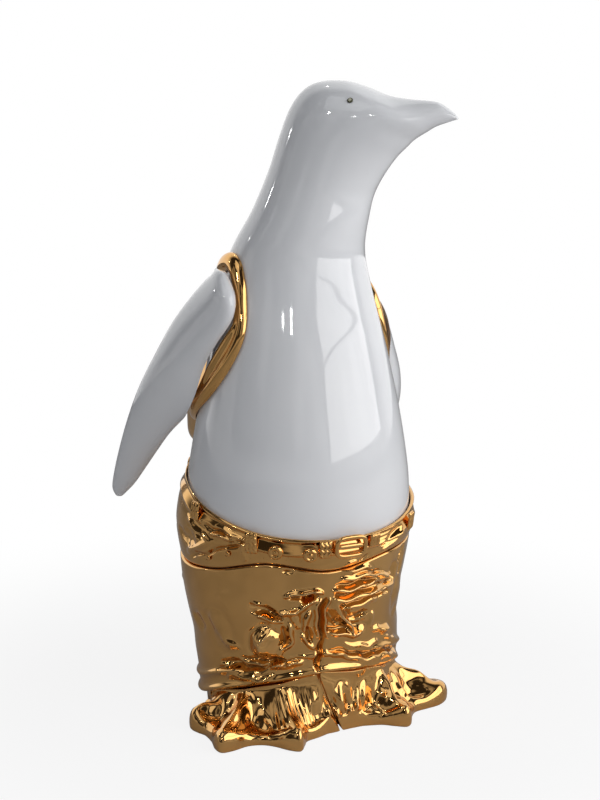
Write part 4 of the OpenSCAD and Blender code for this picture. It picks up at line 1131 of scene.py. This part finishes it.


# Feet: webbed, with ridged toes and a rounded rim

footSettings = {
    "toeReach": 80, "toeHeight": 15, "web": 5, "ankleX": 33, "ankleY": 22, "cleftX": 11, "cleftLean": 0.4,
    "bedding": 0.4,
    # angle from the front, reach, rim height, share of the way from the ankle to the cleft
    "rightToes": [
        [-104, 0.45, 0.35, 0], [-94, 0.56, 0.4, 0], [-84, 0.66, 0.6, 0], [-76, 0.73, 0.9, 0],
        [-70, 0.757, 1, 0], [-64, 0.755, 0.8, 0], [-56, 0.755, 0.45, 0], [-47, 0.83, 0.45, 0],
        [-40, 0.96, 0.85, 0], [-35.5, 1.01, 1, 0], [-31, 0.95, 0.85, 0], [-24, 0.82, 0.4, 0],
        [-15, 0.785, 0.3, 0], [-7, 0.835, 0.4, 0], [-0.5, 0.94, 0.85, 0], [4.5, 0.99, 1, 0],
        [9, 0.9, 0.85, 0], [14, 0.815, 0.5, 0], [23, 0.8, 0.4, 0], [32, 0.8, 0.65, 0],
        [18, 0.7, 0.65, 0.5], [0, 0.64, 0.3, 1],
    ],
    "leftToes": [
        [0, 0.64, 0.3, 1], [-2, 0.62, 0.65, 0.5], [-4, 0.61, 0.5, 0], [9, 0.64, 0.3, 0],
        [16.5, 0.73, 0.7, 0], [22, 0.81, 1, 0], [27, 0.79, 0.95, 0], [31.5, 0.735, 0.6, 0],
        [42, 0.675, 0.35, 0], [50, 0.68, 0.35, 0], [58, 0.755, 0.4, 0], [65, 0.85, 0.75, 0],
        [71, 0.9, 1, 0], [77, 0.92, 1, 0], [83, 0.88, 0.8, 0], [91, 0.74, 0.5, 0],
        [100, 0.58, 0.4, 0], [108, 0.45, 0.35, 0],
    ],
    # where the relief starts on the instep and how far it goes
    "freeInstep": [0.14, 0.82],
    # angle of each toe's ridge, its rise and half width
    "rightRidges": [-71, -35.5, 4.5], "leftRidges": [22, 50, 74], "ridgeRise": 2.6, "ridgeAngle": 5.5,
    # how far a flat web dips and a steep one swells, how far out a web counts as flat, its least room over the leg
    "webDip": 1.6, "webSwell": 1.3, "flatReach": 30, "legRoom": 1.2, "legWaves": 2.4,
    # angle where the stripes run, how many degrees apart they are, their height and how far they bend;
    # then the height of the swirls, and the degrees that the relief goes on beside the cleft
    "stripes": {-1: [13, 3.2, 0.5, 0], 1: [-18, 9.0, 1.2, 5.5]}, "stripeAngle": 17, "swirl": {-1: 1.1, 1: 1.7},
    "swirlWaves": [[1, 0.23, 7.5], [0.5, 0.41, -9]], "cleftSpread": 45,
    # shares of the distance from leg to rim and of the height between rim and hem, then the rounded rim
    "instep": [[0, 1], [0.06, 0.93], [0.16, 0.74], [0.3, 0.5], [0.45, 0.29], [0.6, 0.14], [0.75, 0.04], [0.88, 0]],
    "rimShares": [[0.96, 0.84], [1, 0.5], [0.99, 0.12], [0.975, 0]], "rowsPerToe": 10, "instepRows": 22,
}


def legExit(s, ankle, a, z):
    rows = rowsAt(trouserSettings["cloth"], z / trouserSettings["waist"] * (len(trouserSettings["cloth"]) - 1))[0]
    sizeX = rows[0] * waistRadius - trouserSettings["hemStep"] + s["bedding"]
    sizeY = rows[1] * waistDepth - trouserSettings["hemStep"] + s["bedding"]
    px, py = ankle[0] / sizeX, ankle[1] / sizeY
    dx, dy = math.sin(math.radians(a)) / sizeX, -math.cos(math.radians(a)) / sizeY
    b, d = px * dx + py * dy, dx * dx + dy * dy
    return (-b + math.sqrt(b * b - d * (px * px + py * py - 1))) / d


def footRelief(s, side, ridges, a, d, steep):
    # rise of the toes' ridges, dents of the web and stripes on the instep; a steep web only swells
    start, length = s["freeInstep"]
    free = math.sin(math.pi * min(1, max(0, (d - start) / length)))
    ridge = s["ridgeRise"] * sum(math.exp(-((a - r) / s["ridgeAngle"]) ** 2) for r in ridges)
    middle, apart, height, bend = s["stripes"][side]
    beside = math.exp(-((a - middle) / s["stripeAngle"]) ** 4)
    stripe = height * beside * math.cos(2 * math.pi * (a - middle) / apart + bend * d)
    swirl = sum(rise * math.sin(byAngle * a + byReach * d) for rise, byAngle, byReach in s["swirlWaves"])
    level = s["webSwell"] * s["swirl"][side] * steep - s["webDip"] * (1 - steep)
    return free * (ridge + level + stripe + s["swirl"][side] * swirl)


def buildFoot(s, side, toes, ridges, name, node):
    rings = []
    instep = alongCurve(s["instep"], s["instepRows"])
    ankleX = side * s["ankleX"]
    for a, reach, rim, share in alongRows(toes, s["rowsPerToe"]):
        def hip(z):
            return (ankleX + share * (s["cleftX"] - s["cleftLean"] * z + 2 * side * s["bedding"] - ankleX),
                    -s["ankleY"])
        out = (math.sin(math.radians(a)), -math.cos(math.radians(a)))
        low = legExit(s, hip(0), a, 0)
        touch = (hip(0)[0] + out[0] * low, hip(0)[1] + out[1] * low)
        top = float(hemAt(trouserSettings, math.degrees(math.atan2(touch[0], -touch[1])))) - s["bedding"]
        high = legExit(s, hip(top), a, top)
        over = max(s["web"] / 2, s["toeReach"] * reach - high)
        rimZ = s["web"] + rim * (s["toeHeight"] - s["web"])
        section = [(legExit(s, hip(z), a, z), z) for z in (0.5, top * 0.3, top * 0.7, top - 1, top)]
        slope = np.stack([high + over * instep[:, 0], rimZ + max(0, top - rimZ) * instep[:, 1]], axis=-1)
        lean, steep = np.gradient(slope, axis=0), 1 - min(1, over / s["flatReach"])
        for (d, h), (x, z), (dx, dz) in zip(instep[1:], slope[1:], lean[1:]):
            rise = footRelief(s, side, ridges, a - side * share * s["cleftSpread"], d, steep)
            rise *= min(1, max(0, top - 4) / 8) / math.hypot(dx, dz)
            z = max(2, min(top, z + dx * rise))
            wave = s["legWaves"] * steep * math.sin(0.5 * a + 9 * d) ** 2
            wall = legExit(s, hip(z), a, z) - s["bedding"] + s["legRoom"] + wave
            section.append((max(high + over * 0.1, wall, x - dz * rise), z))
        section += [(high + over * d, min(top, rimZ) * h) for d, h in s["rimShares"]]
        edge = section[-1][0]
        section += [(low + (edge - low) * f, 0) for f in (0.9, 0.6, 0.3)] + [(low, 0)]
        ring = [(hip(z)[0] + out[0] * d, hip(z)[1] + out[1] * d, z) for d, z in section]
        rings.append(ring + [ring[0]])
    finished(skinned(closedEnds(rings)), name, gold, node)


buildFoot(footSettings, -1, footSettings["rightToes"], footSettings["rightRidges"], "rightFoot", "right_foot")
buildFoot(footSettings, 1, footSettings["leftToes"], footSettings["leftRidges"], "leftFoot", "left_foot")
print("feet built")
